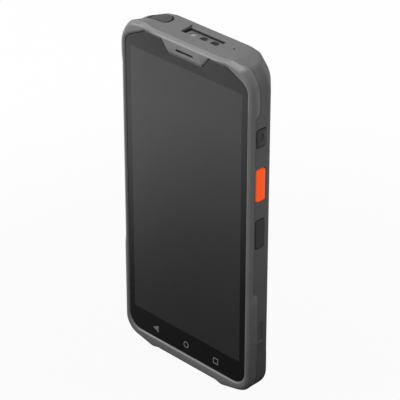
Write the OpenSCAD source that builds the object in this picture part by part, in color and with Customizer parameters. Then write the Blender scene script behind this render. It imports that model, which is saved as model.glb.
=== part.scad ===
// Hand-held barcode data terminal standing upright.
// Millimetres. X runs to the right seen from the screen side, Y runs from the screen to the back, Z is up.
// The origin is under the middle of the body, on the plane of its two feet.

/* [Body] */
// Half the width of the body at its waist
body_half_w = 37; // [34:0.1:40]
// Height of the body at the middle of its top end
body_h = 153; // [145:0.1:160]
// Depth of the body from the front frame to the back
body_d = 17.2; // [16.5:0.1:19]
// How much the top end rises from the front frame to the back edge
top_lift = 0.6; // [0:0.1:1]
// How far the middle of the bottom end stands above the feet
foot_h = 0.7; // [0.4:0.1:1.5]
// How far the raised corners stand above the middle of the top end
corner_rise = 1.2; // [0.6:0.1:1.6]
// How far the raised corners stand out of the sides
corner_out = 0.4; // [0.2:0.1:0.8]
// Wall thickness of the rear housing
wall = 2; // [1.8:0.1:2.2]
// Thickness of the back wall
back_wall = 1.8; // [1.6:0.1:2]
// Size of the slanted edge between the sides and the back
back_slant = 6.65; // [5:0.05:7.5]

/* [Front frame] */
// Depth of the front frame along its waist
frame_d = 2.4; // [2.2:0.1:2.6]
// Depth of the front frame at its raised corners
frame_corner_d = 4.6; // [4.2:0.1:5.4]
// Width of the front frame beside the glass
side_border = 2.65; // [2.3:0.05:4]
// Height of the front frame under the glass
low_border = 5.25; // [4.5:0.05:7]
// Height of the front frame above the glass
top_border = 1.7; // [1.4:0.05:3]
// How far the frame stands in front of the glass
frame_proud = 0.5; // [0.3:0.1:0.8]
// Half the width of the tab at its lower edge
tab_half_low = 9.4; // [7:0.1:12]
// Half the width of the tab at its root
tab_half_high = 13.4; // [11:0.1:16]
// Height of the tab
tab_h = 4.8; // [4:0.1:6]
// Half the length of the earpiece slot
slot_half = 4.8; // [3:0.1:7]
// Height of the earpiece slot's opening
slot_h = 1.1; // [0.8:0.1:1.6]
// Distance of the earpiece slot from the top end
slot_down = 4.1; // [3.8:0.1:5]

/* [Screen] */
// Gap between the glass and the frame
glass_gap = 0.15; // [0.1:0.05:0.3]
// Thickness of the cover glass
glass_t = 1.1; // [0.8:0.1:1.1]
// Black border beside the lit area
side_black = 3.1; // [3:0.05:4.4]
// Black border under the lit area
low_black = 11.15; // [9:0.05:12]
// Black border above the lit area
top_black = 9.2; // [8.9:0.05:12]
// Thickness of the display module
display_t = 1.8; // [1.4:0.1:1.8]

/* [Keys] */
// Depth of the middle of the side keys behind the front
key_mid_d = 5.6; // [5.3:0.1:5.8]
// Width of the side keys
key_w = 4.8; // [4:0.1:5]
// Gap around each key
key_gap = 0.3; // [0.25:0.05:0.4]
// Travel of the scan triggers
trigger_travel = 0.5; // [0.3:0.05:0.5]
// Travel of the power button and the function key
key_travel = 0.4; // [0.3:0.05:0.5]
// How far the scan triggers stand out
trigger_out = 0.9; // [0.6:0.1:1.2]
// Distance of the scan triggers' lower end from the top end
trigger_down = 58.2; // [56:0.1:61]
// Length of the scan triggers
trigger_len = 14.4; // [12:0.1:16]
// Distance of the power button's lower end from the top end
power_down = 33.6; // [32:0.1:36]
// Length of the power button
power_len = 7.6; // [6:0.1:8.4]
// How far the power button stands out
power_out = 0.5; // [0.3:0.1:0.8]
// Distance of the function key's lower end from the top end
function_down = 80.1; // [78:0.1:83]
// Length of the function key
function_len = 13.1; // [11:0.1:15]
// How far the function key stands out
function_out = 0.2; // [0.1:0.1:0.5]
// Distance of the volume rocker's lower end from the top end
volume_down = 39.6; // [38:0.1:41]
// Length of the volume rocker
volume_len = 16; // [14:0.1:17]
// Radius of the key stems
stem_r = 0.8; // [0.6:0.05:1]
// Radial clearance of the key stems in the switches
stem_fit = 0.06; // [0.03:0.01:0.1]

/* [Top end] */
// Half the length of the scan window
window_half = 10.2; // [9:0.1:10.6]
// Middle of the scan window to the right of the middle
window_x = 0.7; // [0:0.1:1]
// Distance of the scan window's front edge from the back
window_back = 9.5; // [8.8:0.1:9.7]
// Width of the scan window
window_w = 5.7; // [5:0.1:6.2]
// Depth of the scan window under the top end
window_sink = 1.1; // [0.5:0.1:1.1]
// Distance of the middle of the headset jack from the left side
jack_side = 15.4; // [15:0.1:16]
// Distance of the middle of the headset jack from the back
jack_back = 6; // [5.8:0.1:6.2]
// Radius of the headset jack's bore
jack_bore_r = 1.8; // [1.8:0.01:1.85]
// Radius of the rounded end of the jack cover
jack_cover_r = 3.1; // [3:0.1:3.2]
// Place of the top microphone hole to the right of the middle
mic_x = 17.2; // [16:0.1:18]

/* [Bottom end] */
// Half the width of the data port's mouth
port_half_w = 4.5; // [4.4:0.05:4.7]
// Height of the data port's mouth
port_t = 3.1; // [3:0.05:3.3]
// Distance of the middle of the data port from the back
port_back = 8.3; // [8.1:0.1:8.5]

/* [Covers and pins] */
// Radius of the cover pins
pin_r = 0.4; // [0.35:0.01:0.45]
// Radial clearance of the covers on their pins
pin_fit = 0.05; // [0.03:0.01:0.08]
// Radius of the data port cover's hinge barrel
barrel_r = 0.85; // [0.8:0.05:0.95]
// Radius of the jack cover's hinge knuckle
knuckle_r = 1.4; // [1.2:0.05:1.5]
// Radius of the volume rocker's pivot
pivot_r = 0.7; // [0.6:0.05:0.7]

/* [Back] */
// Width of the back beside the battery cover
door_side = 12; // [11.6:0.1:14]
// Lower edge of the battery cover
door_low = 33; // [31:0.1:35]
// Distance of the battery cover's upper edge from the top end
door_down = 45; // [44:0.1:48]
// Gap around the battery cover
door_gap = 0.3; // [0.2:0.05:0.4]
// Radius of the screw shanks
screw_r = 0.8; // [0.7:0.05:0.9]
// Radius of the screw heads
screw_head_r = 1.6; // [1.4:0.05:1.7]

/* [Hidden] */
arc_steps = 3;
ramp_x = 18.2;
ramp_run = 6.8;
far = 60;
glass_front = frame_proud;
glass_back = glass_front + glass_t;
display_back = glass_back + display_t;
back_inner = body_d - back_wall;
inner_half_w = body_half_w - wall;
opening_half_w = body_half_w - side_border;
opening_low = foot_h + low_border;
opening_high = body_h - top_border;
tab_low = opening_high - tab_h;
slot_z = body_h - slot_down;
lit_half_w = opening_half_w - side_black;
lit_low = opening_low + low_black;
lit_high = opening_high - top_black;
trigger_low = body_h - trigger_down;
power_low = body_h - power_down;
function_low = body_h - function_down;
volume_low = body_h - volume_down;
window_front = body_d - window_back;
jack_x = body_half_w - jack_side;
jack_d = body_d - jack_back;
port_d = body_d - port_back;
door_half_w = body_half_w - door_side;
door_high = body_h - door_down;
plate_front = display_back + 0.1;
plate_back = plate_front + 1;
board_front = 6.2;
board_back = 7.2;
flange_in = 0.3;
flange_t = 0.8;
flange_x = inner_half_w - flange_in;
stem_end_x = inner_half_w - 2.7;
pivot_x = inner_half_w - 1;
volume_mid = volume_low + volume_len / 2;
switch_x = flange_x - flange_t - trigger_travel - 0.4;
switch_bottom_x = stem_end_x - trigger_travel - 0.3;
switch_back_x = switch_bottom_x - 0.4;
notch_heights = [for (part = [0.22, 0.403, 0.587, 0.754]) part * body_h];
board_half_w = inner_half_w - 9.6;
boss_r = 2.2;
screw_x = board_half_w + 0.4 + boss_r;
screw_places = [[screw_x, 20], [screw_x, 64], [screw_x, body_h - 32], [screw_x, body_h - 14]];
board_low = door_high - 12;
board_high = body_h - 5;
branch_low = volume_low + 1.1;
top_z = body_h + 0.3;
jack_hinge_x = -jack_x - 6;
jack_hinge_z = top_z - knuckle_r - 0.5;
pin_half = 3.6;
port_hinge_x = -8;
port_hinge_z = foot_h + barrel_r + 0.1;
camera_x = board_half_w - 5.4;
camera_z = body_h - 17;
motor_z = 21;
motor_d = body_d - 6;

// ---------- outline of the body ----------

// Inward normal of the edge from a to b of an outline that runs anticlockwise.
function edge_normal(a, b) =
    let (t = (b - a) / norm(b - a))
    [-t[1], t[0]];

// Rounded corner at b, with the edges before and after it moved in by d1 and d2.
function corner_arc(a, b, c, d1, d2, r) =
    let (n1 = edge_normal(a, b))
    let (n2 = edge_normal(b, c))
    let (q = n1 * n2)
    let (s = ((d1 - q * d2) * n1 + (d2 - q * d1) * n2) / (1 - q * q))
    let (k = (n1 + n2) / (1 + q))
    let (rr = max(r - (d1 + d2) / 2, 0.3))
    let (t1 = atan2(n1[1], n1[0]))
    let (turn = (atan2(n2[1], n2[0]) - t1 + 720) % 360)
    [for (i = [0:arc_steps]) b + s + rr * (k - [cos(t1 + turn * i / arc_steps), sin(t1 + turn * i / arc_steps)])];

// Closed outline through the corners, each edge moved in by its own amount.
function outline(corners, radii, insets) =
    let (n = len(corners))
    [for (i = [0:n - 1]) each corner_arc(
        corners[(i + n - 1) % n], corners[i], corners[(i + 1) % n],
        insets[(i + n - 1) % n], insets[i], radii[i])];

// Corners of the body, seen from the front. w: half width, low and high: the two ends.
function body_corners(w, low, high) = [
    [-21.6, low], [21.6, low], [w, low + 3.5], [w, high - 7.2], [w - 5.4, high - 1.3], [24.4, high],
    [-24.4, high], [-w + 5.4, high - 1.3], [-w, high - 7.2], [-w, low + 3.5]
];
body_radii = [3, 3, 8.8, 14.4, 4.4, 13.8, 13.8, 4.4, 14.4, 8.8];

// One inset per edge: bottom, lower corner, side, two upper corner edges and top.
function edges(b, l, s, u, v, t) = [b, l, s, u, v, t, v, u, s, l];

// Rings of the outer surface: depth behind the front, then the insets.
outer_rings = [
    [0, edges(1.5, 1.7, 1.8, 1.7, 1.5, 1.2)],
    [0.55, edges(0.6, 0.7, 0.75, 0.7, 0.6, 0.5)],
    [1.9, edges(0, 0, 0, 0, 0, 0)],
    [body_d - back_slant - 0.65, edges(0, 0, 0, 0, -top_lift * 0.5, -top_lift * 0.5)],
    [body_d - back_slant + 0.65, edges(0, 0, 0.6, 0.4, -top_lift * 0.4, -top_lift * 0.65)],
    [body_d - 1, edges(0, 0.15, back_slant - 1.2, 3.4, 0, -top_lift)],
    [body_d, edges(1.2, 1.6, back_slant, 4.8, 1.1, 0.6 - top_lift)]
];

// Rings of the room inside the housing.
inner_rings = [
    [frame_d - 1, edges(wall, wall, wall, wall, wall, wall)],
    [body_d - back_slant - 1, edges(wall, wall, wall, wall, wall, wall)],
    [back_inner, edges(wall, wall + 0.6, back_slant + 0.8, 5.8, wall + 0.3, wall)]
];

function waist_corners() = body_corners(body_half_w, foot_h, body_h);

// Corners of the raised form on the right: its top end slopes down to the left, so that the corner starts as a ramp.
function raised_corners() =
    let (w = body_half_w + corner_out)
    let (high = body_h + corner_rise)
    let (slope = (corner_rise + 0.1) / ramp_run)
    let (left = high - (ramp_x + ramp_run + 24) * slope)
    [
        [-21.6, 0], [21.6, 0], [w, 3.5], [w, high - 7.2], [w - 5.4, high - 1.3], [ramp_x + ramp_run, high],
        [-24, left], [-w + 5.4, left - 3], [-w, left - 10], [-w, 3.5]
    ];

// Solid skinned over rings that all have the same number of points.
module ring_loft(corners, rings) {
    loops = [for (ring = rings) outline(corners, body_radii, ring[1])];
    n = len(loops[0]);
    last = len(rings) - 1;
    points = [for (j = [0:last]) for (p = loops[j]) [p[0], rings[j][0], p[1]]];
    front = [[for (i = [n - 1:-1:0]) i]];
    back = [[for (i = [0:n - 1]) last * n + i]];
    side_a = [for (j = [0:last - 1]) for (i = [0:n - 1]) [j * n + i, j * n + (i + 1) % n, (j + 1) * n + (i + 1) % n]];
    side_b = [for (j = [0:last - 1]) for (i = [0:n - 1]) [j * n + i, (j + 1) * n + (i + 1) % n, (j + 1) * n + i]];
    polyhedron(points = points, faces = concat(front, side_a, side_b, back));
}

// ---------- placing helpers; depths are measured behind the front ----------

module placed() {
    translate([0, -body_d / 2, 0])
        children();
}

// Flat shape drawn in X and Z, given depth from a to b.
module deep(a, b) {
    translate([0, b, 0])
        rotate([90, 0, 0])
            linear_extrude(b - a)
                children();
}

// Flat shape drawn in X and Y, given height from a to b.
module tall(a, b) {
    translate([0, 0, a])
        linear_extrude(b - a)
            children();
}

// Flat shape drawn in Y and Z, given width from a to b.
module wide(a, b) {
    translate([a, 0, 0])
        rotate([90, 0, 90])
            linear_extrude(b - a)
                children();
}

module block(x, d, z) {
    translate([x[0], d[0], z[0]])
        cube([x[1] - x[0], d[1] - d[0], z[1] - z[0]]);
}

module rounded_rect(x, y, r) {
    translate([x[0] + r, y[0]])
        square([x[1] - x[0] - 2 * r, y[1] - y[0]]);
    translate([x[0], y[0] + r])
        square([x[1] - x[0], y[1] - y[0] - 2 * r]);
    for (u = [x[0] + r, x[1] - r])
        for (v = [y[0] + r, y[1] - r])
            translate([u, v])
                circle(r, $fn = 32);
}

module both_sides() {
    children();
    mirror([1, 0, 0])
        children();
}

// Round bar along the depth.
module deep_rod(x, z, r, a, b) {
    translate([x, b, z])
        rotate([90, 0, 0])
            cylinder(h = b - a, r = r, $fn = 48);
}

// Round bar along the width.
module wide_rod(d, z, r, a, b) {
    translate([a, d, z])
        rotate([0, 90, 0])
            cylinder(h = b - a, r = r, $fn = 48);
}

// ---------- shapes shared by several pieces ----------

module waist_shape() {
    ring_loft(waist_corners(), outer_rings);
}

module raised_shape() {
    ring_loft(raised_corners(), outer_rings);
}

// Flat outline of the body, moved in by d all round.
module body_outline(d) {
    polygon(outline(waist_corners(), body_radii, edges(d, d, d, d, d, d)));
}

// Corner areas where the front frame is raised, seen from the front.
module corner_zones() {
    both_sides() {
        polygon([
            [15.8, body_h - 20.5], [15.8, body_h + 5], [far, body_h + 5], [far, body_h - 16.5],
            [body_half_w + corner_out, body_h - 16.5], [body_half_w - 0.1, body_h - 20.5]
        ]);
        polygon([
            [17.6, foot_h + 0.2], [20.6, -0.1], [20.6, -5], [far, -5],
            [far, 46.5], [body_half_w + corner_out, 46.5], [body_half_w - 0.1, 51.5], [17.6, 51.5]
        ]);
    }
}

// Plan of a raised corner: it grows deeper towards the sides. g: growth at the rear.
module corner_plan(g) {
    both_sides()
        tall(-5, body_h + 5)
            polygon([
                [ramp_x - 0.8, -1], [ramp_x - 0.8, frame_d + g], [ramp_x + ramp_run + 1.5, frame_d + g],
                [body_half_w - 4, frame_corner_d + g], [far, frame_corner_d + g], [far, -1]
            ]);
}

// Glass opening of the frame, grown outwards by g. tab: with the tab left standing.
module opening_shape(g) {
    w = opening_half_w + g;
    low = opening_low - g;
    high = opening_high + g;
    corners = [
        [-w, low], [w, low], [w, high - 6.6], [w - 2.9, high - 4.1], [22.8 + g * 0.4, high],
        [-22.8 - g * 0.4, high], [-w + 2.9, high - 4.1], [-w, high - 6.6]
    ];
    difference() {
        polygon(outline(corners, [6.5, 6.5, 4, 3, 1, 1, 3, 4], [0, 0, 0, 0, 0, 0, 0, 0]));
        polygon([
            [-tab_half_high + g, high + 1], [-tab_half_high + g, high], [-tab_half_low + g, tab_low + g],
            [tab_half_low - g, tab_low + g], [tab_half_high - g, high], [tab_half_high - g, high + 1]
        ]);
    }
}

// ---------- front ----------

module front_bezel() {
    color([0.42, 0.42, 0.43])
        placed()
            difference() {
                union() {
                    intersection() {
                        waist_shape();
                        block([-far, far], [-1, frame_d], [-5, 170]);
                    }
                    both_sides()
                        intersection() {
                            raised_shape();
                            corner_plan(0);
                            deep(-1, frame_corner_d)
                                corner_zones();
                            block([5, far], [-2, frame_corner_d + 1], [-10, 170]);
                        }
                }
                deep(frame_d, frame_corner_d + 1)
                    body_outline(1);
                deep(-1, 2 * frame_proud)
                    opening_shape(0);
                for (i = [0:2])
                    deep(-1, frame_proud * (3 - i) / 3)
                        opening_shape(frame_proud * (i + 1) / 3 * 0.9);
                deep(2 * frame_proud - 0.1, frame_corner_d + 1)
                    opening_shape(0);
                difference() {
                    deep(1.7, frame_d + 0.1)
                        body_outline(1);
                    deep(1.6, frame_d + 0.2)
                        body_outline(1.9);
                }
                deep(-1, 6)
                    rounded_rect([-slot_half, slot_half], [slot_z - slot_h / 2, slot_z + slot_h / 2], 0.5);
                deep(1.2, 6)
                    rounded_rect([-slot_half - 0.9, slot_half + 0.9], [slot_z - 1.3, slot_z + 1.3], 0.5);
            }
}

module cover_glass() {
    color([0.03, 0.03, 0.035])
        placed()
            deep(glass_front, glass_back)
                opening_shape(-glass_gap);
}

// Printed marks under the lit area: a triangle, a ring and a square.
module touch_marks() {
    color([0.8, 0.8, 0.8])
        placed()
            deep(glass_front - 0.06, glass_front) {
                polygon([[-20.1, 10.9], [-16.7, 12.6], [-16.7, 9.2]]);
                translate([0, 10.9])
                    difference() {
                        circle(1.55, $fn = 48);
                        circle(1.05, $fn = 48);
                    }
                difference() {
                    rounded_rect([16.1, 19.1], [9.4, 12.4], 0.3);
                    translate([16.55, 9.85])
                        square([2.1, 2.1]);
                }
            }
}

module display_module() {
    color([0.08, 0.08, 0.1])
        placed()
            union() {
                block([-lit_half_w, lit_half_w], [glass_back, display_back - 0.4], [lit_low, lit_high]);
                block([-lit_half_w - 0.75, lit_half_w + 0.75], [display_back - 0.4, display_back], [lit_low - 4.2, lit_high + 1.4]);
            }
}

// Openings of the middle frame for the boards' tall parts and the side switches.
module mid_frame_cuts() {
    both_sides()
        block([inner_half_w - 5, far], [plate_front - 1, far], [function_low - 2.9, power_low + power_len + 5]);
    block([-8, 8], [plate_front - 1, far], [body_h - 8, body_h + 7]);
    block([-14, 14], [plate_front - 1, plate_back + 1], [board_low + 16, board_low + 36]);
    block([port_hinge_x - 3, -port_hinge_x + 3], [plate_front - 1, plate_back + 1], [0, 13]);
}

module mid_frame() {
    color([0.6, 0.6, 0.62])
        placed()
            difference() {
                union() {
                    deep(plate_front, plate_back)
                        body_outline(wall + 0.3);
                    for (p = screw_places)
                        both_sides()
                            deep_rod(p[0], p[1], boss_r, plate_back - 0.5, board_back + 1.8);
                    both_sides()
                        block([10, board_half_w], [plate_back - 0.2, plate_back + 0.8], [door_low + 7, door_low + 9]);
                }
                mid_frame_cuts();
                for (p = screw_places)
                    both_sides()
                        deep_rod(p[0], p[1], screw_r + 0.02, plate_front - 1, board_back + 3);
            }
}

module housing_seal() {
    color([0.1, 0.1, 0.1])
        placed()
            difference() {
                deep(1.75, frame_d + 0.1)
                    body_outline(1.05);
                deep(1, frame_d + 1)
                    body_outline(1.85);
            }
}

// ---------- rear housing ----------

// Key openings of one side. keys: list of lower end and length of each key.
module key_openings(keys) {
    for (k = keys)
        block([inner_half_w - 1, far], [frame_d - 0.5, key_mid_d + key_w / 2 + key_gap], [k[0] - key_gap, k[0] + k[1] + key_gap]);
}

// Rounded pocket that takes a cradle's catch, one on each side.
module cradle_pockets() {
    both_sides()
        wide(body_half_w - 0.5, far)
            rounded_rect([5, 8.2], [26.9, 36.6], 1);
}

// Small grooves across the rear edge of both sides.
module edge_notches() {
    for (z = notch_heights)
        both_sides()
            tall(z - 0.6, z + 0.6)
                polygon([
                    [body_half_w - 0.45, body_d - back_slant - 0.3], [body_half_w + 1, body_d - back_slant - 0.6],
                    [body_half_w + 1, body_d - 2.4], [body_half_w - 3.6, body_d - 2.4], [body_half_w - 4, body_d - 3.5],
                    [body_half_w - 0.9, body_d - back_slant + 0.5]
                ]);
}

module feet() {
    intersection() {
        raised_shape();
        deep(frame_d + 0.1, body_d)
            both_sides()
                polygon([[17.6, foot_h + 0.2], [20.6, -0.1], [20.6, -5], [33, -5], [33, 3], [17.6, 3]]);
    }
}

// Room around the jack cover: its flat pocket, its hinge and its pin.
module jack_pocket() {
    near = jack_d - jack_cover_r - 0.3;
    away = jack_d + jack_cover_r + 0.3;
    tall(top_z - 2.2, top_z + 5)
        rounded_rect([jack_hinge_x - knuckle_r, -jack_x + jack_cover_r + 0.3], [near, away], jack_cover_r - 0.4);
    deep_rod(jack_hinge_x, jack_hinge_z, knuckle_r + 0.3, near, away);
    block([jack_hinge_x - knuckle_r - 0.3, jack_hinge_x], [near, away], [jack_hinge_z, top_z + 5]);
}

// Room around the data port cover at the bottom end.
module port_pocket() {
    block([port_hinge_x - 1.4, 7.1], [port_d - 3.5, port_d + 3.5], [-5, foot_h + 1.7]);
    block([port_hinge_x - 1.4, port_hinge_x + 1.5], [port_d - 3.5, port_d + 3.5], [-5, port_hinge_z + 1.3]);
}

module rear_housing() {
    color([0.23, 0.23, 0.24])
        placed()
            difference() {
                union() {
                    difference() {
                        union() {
                            intersection() {
                                waist_shape();
                                block([-far, far], [frame_d + 0.1, 30], [-5, 170]);
                            }
                            feet();
                        }
                        ring_loft(waist_corners(), inner_rings);
                    }
                    // walls that hold the covers' pockets, the bosses and the battery bay
                    intersection() {
                        waist_shape();
                        union() {
                            block([jack_hinge_x - 2.9, -jack_x + 4.6], [jack_d - 4.4, jack_d + 4.4], [top_z - 4.7, top_z + 1]);
                            block([-12.4, 12.4], [window_front - 1.4, window_front + window_w + 1.4], [top_z - 3.6, top_z + 1]);
                            block([port_hinge_x - 2.6, 8.2], [port_d - 4.6, port_d + 4.6], [foot_h, foot_h + 4]);
                        }
                    }
                    for (p = screw_places)
                        both_sides()
                            deep_rod(p[0], p[1], boss_r, board_back + 1.9, back_inner + 0.1);
                    for (z = [door_low - 1.6, door_high + 0.6])
                        block([-door_half_w - 1, door_half_w + 1], [back_inner - 3, back_inner + 0.1], [z, z + 1]);
                }
                // glass-side lip under the raised corners of the front frame
                difference() {
                    intersection() {
                        corner_plan(0.1);
                        deep(frame_d, frame_corner_d + 1)
                            intersection() {
                                corner_zones();
                                body_outline(-3);
                            }
                    }
                    deep(frame_d - 1, frame_corner_d + 2)
                        body_outline(1.05);
                }
                key_openings([[power_low, power_len], [trigger_low, trigger_len], [function_low, function_len]]);
                mirror([1, 0, 0])
                    key_openings([[trigger_low, trigger_len], [volume_low, volume_len]]);
                cradle_pockets();
                edge_notches();
                // scan window and the way through for the beam
                block([window_x - window_half, window_x + window_half], [window_front, window_front + window_w], [top_z - window_sink - 1.1, top_z + 5]);
                block([window_x - window_half + 0.8, window_x + window_half - 0.8], [window_front + 0.6, window_front + window_w - 0.6], [top_z - 5, top_z]);
                wide(window_x - window_half - 0.4, window_x + window_half + 0.4)
                    polygon([
                        [window_front + window_w - 0.1, top_z - 0.6], [window_front + window_w + 0.9, top_z + 0.3],
                        [window_front + window_w - 0.1, top_z + 0.5]
                    ]);
                translate([mic_x, 10.5, top_z - 6])
                    cylinder(h = 12, r = 0.5, $fn = 32);
                // jack
                jack_pocket();
                translate([-jack_x, jack_d, top_z - 8])
                    cylinder(h = 8, r = jack_bore_r + 1.1, $fn = 48);
                deep_rod(jack_hinge_x, jack_hinge_z, pin_r + 0.01, jack_d - pin_half, jack_d + pin_half);
                // data port
                port_pocket();
                block([-port_half_w - 0.2, port_half_w + 0.2], [port_d - port_t / 2 - 0.2, port_d + port_t / 2 + 0.2], [-1, 6]);
                deep_rod(port_hinge_x, port_hinge_z, pin_r + 0.01, port_d - 4.3, port_d + 4.3);
                // battery bay and screws
                deep(back_inner - 1, body_d + 1)
                    rounded_rect([-door_half_w, door_half_w], [door_low, door_high], 3);
                for (p = screw_places)
                    both_sides() {
                        deep_rod(p[0], p[1], screw_r + 0.15, board_back + 0.8, body_d + 1);
                        deep_rod(p[0], p[1], screw_head_r + 0.1, body_d - 2, body_d + 1);
                    }
                // camera, flash, loudspeaker slots and cradle contacts
                deep_rod(camera_x, camera_z, 5.2, back_inner - 3, body_d + 1);
                deep_rod(camera_x - 9.5, camera_z, 2.1, back_inner - 3, body_d + 1);
                for (i = [0:3])
                    deep(back_inner - 3, body_d + 1)
                        rounded_rect([9, 21], [12.5 + i * 2.6, 13.7 + i * 2.6], 0.55);
                for (i = [0:3])
                    deep_rod(-16 + i * 4, 14, 1.35, back_inner - 3, body_d + 1);
            }
}

// ---------- side keys ----------

// Cap of a key on the right side: from the inside of the wall to its outer face.
module key_cap(low, len, out, bevel) {
    high = low + len;
    near = key_mid_d - key_w / 2;
    away = key_mid_d + key_w / 2;
    outer = body_half_w + out;
    intersection() {
        deep(near, away)
            polygon([
                [flange_x - 0.5, low], [outer - bevel, low], [outer, low + bevel],
                [outer, high - bevel], [outer - bevel, high], [flange_x - 0.5, high]
            ]);
        tall(low - 1, high + 1)
            polygon([
                [flange_x - 0.6, near], [outer - bevel * 0.6, near], [outer, near + bevel * 0.6],
                [outer, away - bevel * 0.6], [outer - bevel * 0.6, away], [flange_x - 0.6, away]
            ]);
        wide(flange_x - 1, outer + 1)
            rounded_rect([near, away], [low, high], 0.6);
    }
}

// Flange and stems behind a key. stems: heights of the stems, in: how much deeper the flange lies.
module key_back(low, len, stems, in = 0) {
    block([flange_x - flange_t - in, flange_x - in], [key_mid_d - key_w / 2, key_mid_d + key_w / 2], [low - 0.9, low + len + 0.9]);
    for (z = stems)
        wide_rod(key_mid_d, z, stem_r, stem_end_x, flange_x - 0.4);
}

module power_button() {
    color([0.2, 0.2, 0.21])
        placed()
            difference() {
                union() {
                    key_cap(power_low, power_len, power_out, 0.45);
                    key_back(power_low, power_len, [power_low + power_len / 2]);
                }
                wide_rod(key_mid_d, power_low + power_len / 2, 1.1, body_half_w + power_out - 0.15, far);
            }
}

module trigger() {
    key_cap(trigger_low, trigger_len, trigger_out, 0.6);
    key_back(trigger_low, trigger_len, [trigger_low + trigger_len / 2]);
}

module scan_trigger_right() {
    color([0.95, 0.3, 0.06])
        placed()
            trigger();
}

module function_key() {
    color([0.13, 0.13, 0.14])
        placed() {
            key_cap(function_low, function_len, function_out, 0.3);
            key_back(function_low, function_len, [function_low + function_len / 2]);
        }
}

module scan_trigger_left() {
    color([0.95, 0.3, 0.06])
        placed()
            mirror([1, 0, 0])
                trigger();
}

module volume_rocker() {
    color([0.2, 0.2, 0.21])
        placed()
            mirror([1, 0, 0]) {
                key_cap(volume_low, volume_len, power_out, 0.45);
                difference() {
                    key_back(volume_low, volume_len, [], 0.3);
                    block([0, far], [0, body_d], [volume_mid - 2, volume_mid + 2]);
                }
                deep_rod(pivot_x, volume_mid, pivot_r, key_mid_d - key_w / 2, key_mid_d + key_w / 2);
                for (z = [volume_low + 3, volume_low + volume_len - 3])
                    wide_rod(key_mid_d, z, stem_r, switch_x + 0.3, flange_x - 0.6);
            }
}

// Post with a half-round seat for the pivot of the volume rocker.
module rocker_post() {
    color([0.15, 0.15, 0.15])
        placed()
            mirror([1, 0, 0])
                difference() {
                    block([switch_back_x, pivot_x - 0.1], [key_mid_d - 1.7, key_mid_d + 1.7], [volume_mid - 1.5, volume_mid + 1.5]);
                    deep_rod(pivot_x, volume_mid, pivot_r + stem_fit, 0, body_d);
                }
}

// Switch behind a key; its hole takes the key's stem.
module one_switch(z, bored) {
    difference() {
        block([switch_back_x, switch_x], [key_mid_d - 1.7, key_mid_d + 1.7], [z - 2, z + 2]);
        if (bored)
            wide_rod(key_mid_d, z, stem_r + stem_fit, switch_bottom_x, switch_x + 1);
    }
}

module side_switches() {
    color([0.75, 0.75, 0.77])
        placed() {
            one_switch(power_low + power_len / 2, true);
            one_switch(trigger_low + trigger_len / 2, true);
            one_switch(function_low + function_len / 2, true);
            mirror([1, 0, 0]) {
                one_switch(trigger_low + trigger_len / 2, true);
                one_switch(volume_low + 3, false);
                one_switch(volume_low + volume_len - 3, false);
            }
        }
}

module side_key_flexes() {
    color([0.75, 0.45, 0.1])
        placed() {
            block([switch_back_x - 0.3, switch_back_x], [key_mid_d - 1.6, key_mid_d + 1.6], [function_low, power_low + power_len]);
            block([board_half_w - 1.4, switch_back_x - 0.2], [board_front - 0.3, board_front - 0.05], [branch_low, branch_low + 4]);
            mirror([1, 0, 0]) {
                block([switch_back_x - 0.3, switch_back_x], [key_mid_d - 1.6, key_mid_d + 1.6], [trigger_low, volume_low + volume_len]);
                block([board_half_w - 1.4, switch_back_x - 0.2], [board_front - 0.3, board_front - 0.05], [branch_low, branch_low + 4]);
            }
        }
}

// ---------- top end ----------

module scan_window() {
    color([0.25, 0.03, 0.03])
        placed()
            block(
                [window_x - window_half + 0.1, window_x + window_half - 0.1], [window_front + 0.1, window_front + window_w - 0.1],
                [top_z - window_sink - 1.1, top_z - window_sink]);
}

module scan_engine() {
    color([0.15, 0.15, 0.16])
        placed()
            difference() {
                block([-9.6, 9.6], [board_back + 0.8, back_inner - 1.2], [body_h - 15.5, top_z - 5.2]);
                for (x = [-5.5, 0.4, 5.6])
                    translate([x, window_front + 3.4, top_z - 7.4])
                        cylinder(h = 6, r = x == 0.4 ? 1.3 : 1.9, $fn = 32);
            }
}

module scan_bracket() {
    color([0.62, 0.62, 0.64])
        placed() {
            block([-11.2, -9.7], [board_back + 0.8, back_inner - 1.8], [body_h - 15, body_h - 5.6]);
            block([9.7, 11.2], [board_back + 0.8, back_inner - 1.8], [body_h - 15, body_h - 5.6]);
            block([-11.2, 11.2], [board_back + 0.1, board_back + 0.8], [body_h - 15, body_h - 5.6]);
        }
}

module earpiece_mesh() {
    color([0.04, 0.04, 0.04])
        placed()
            deep(1.25, 1.5)
                rounded_rect([-slot_half - 0.7, slot_half + 0.7], [slot_z - 1, slot_z + 1], 0.4);
}

module earpiece_receiver() {
    color([0.7, 0.7, 0.7])
        placed()
            deep(frame_d + 0.2, plate_back + 0.5)
                rounded_rect([-6.5, 6.5], [body_h - 7.4, body_h - 2.5], 1);
}

module audio_jack() {
    color([0.12, 0.12, 0.13])
        placed()
            difference() {
                union() {
                    translate([-jack_x, jack_d, top_z - 16])
                        cylinder(h = 13.7, r = jack_bore_r + 1, $fn = 48);
                    block([-jack_x - 3, -jack_x + 3], [board_back + 0.05, jack_d], [top_z - 15.5, top_z - 7]);
                }
                translate([-jack_x, jack_d, top_z - 15])
                    cylinder(h = 15, r = jack_bore_r, $fn = 48);
            }
}

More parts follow.
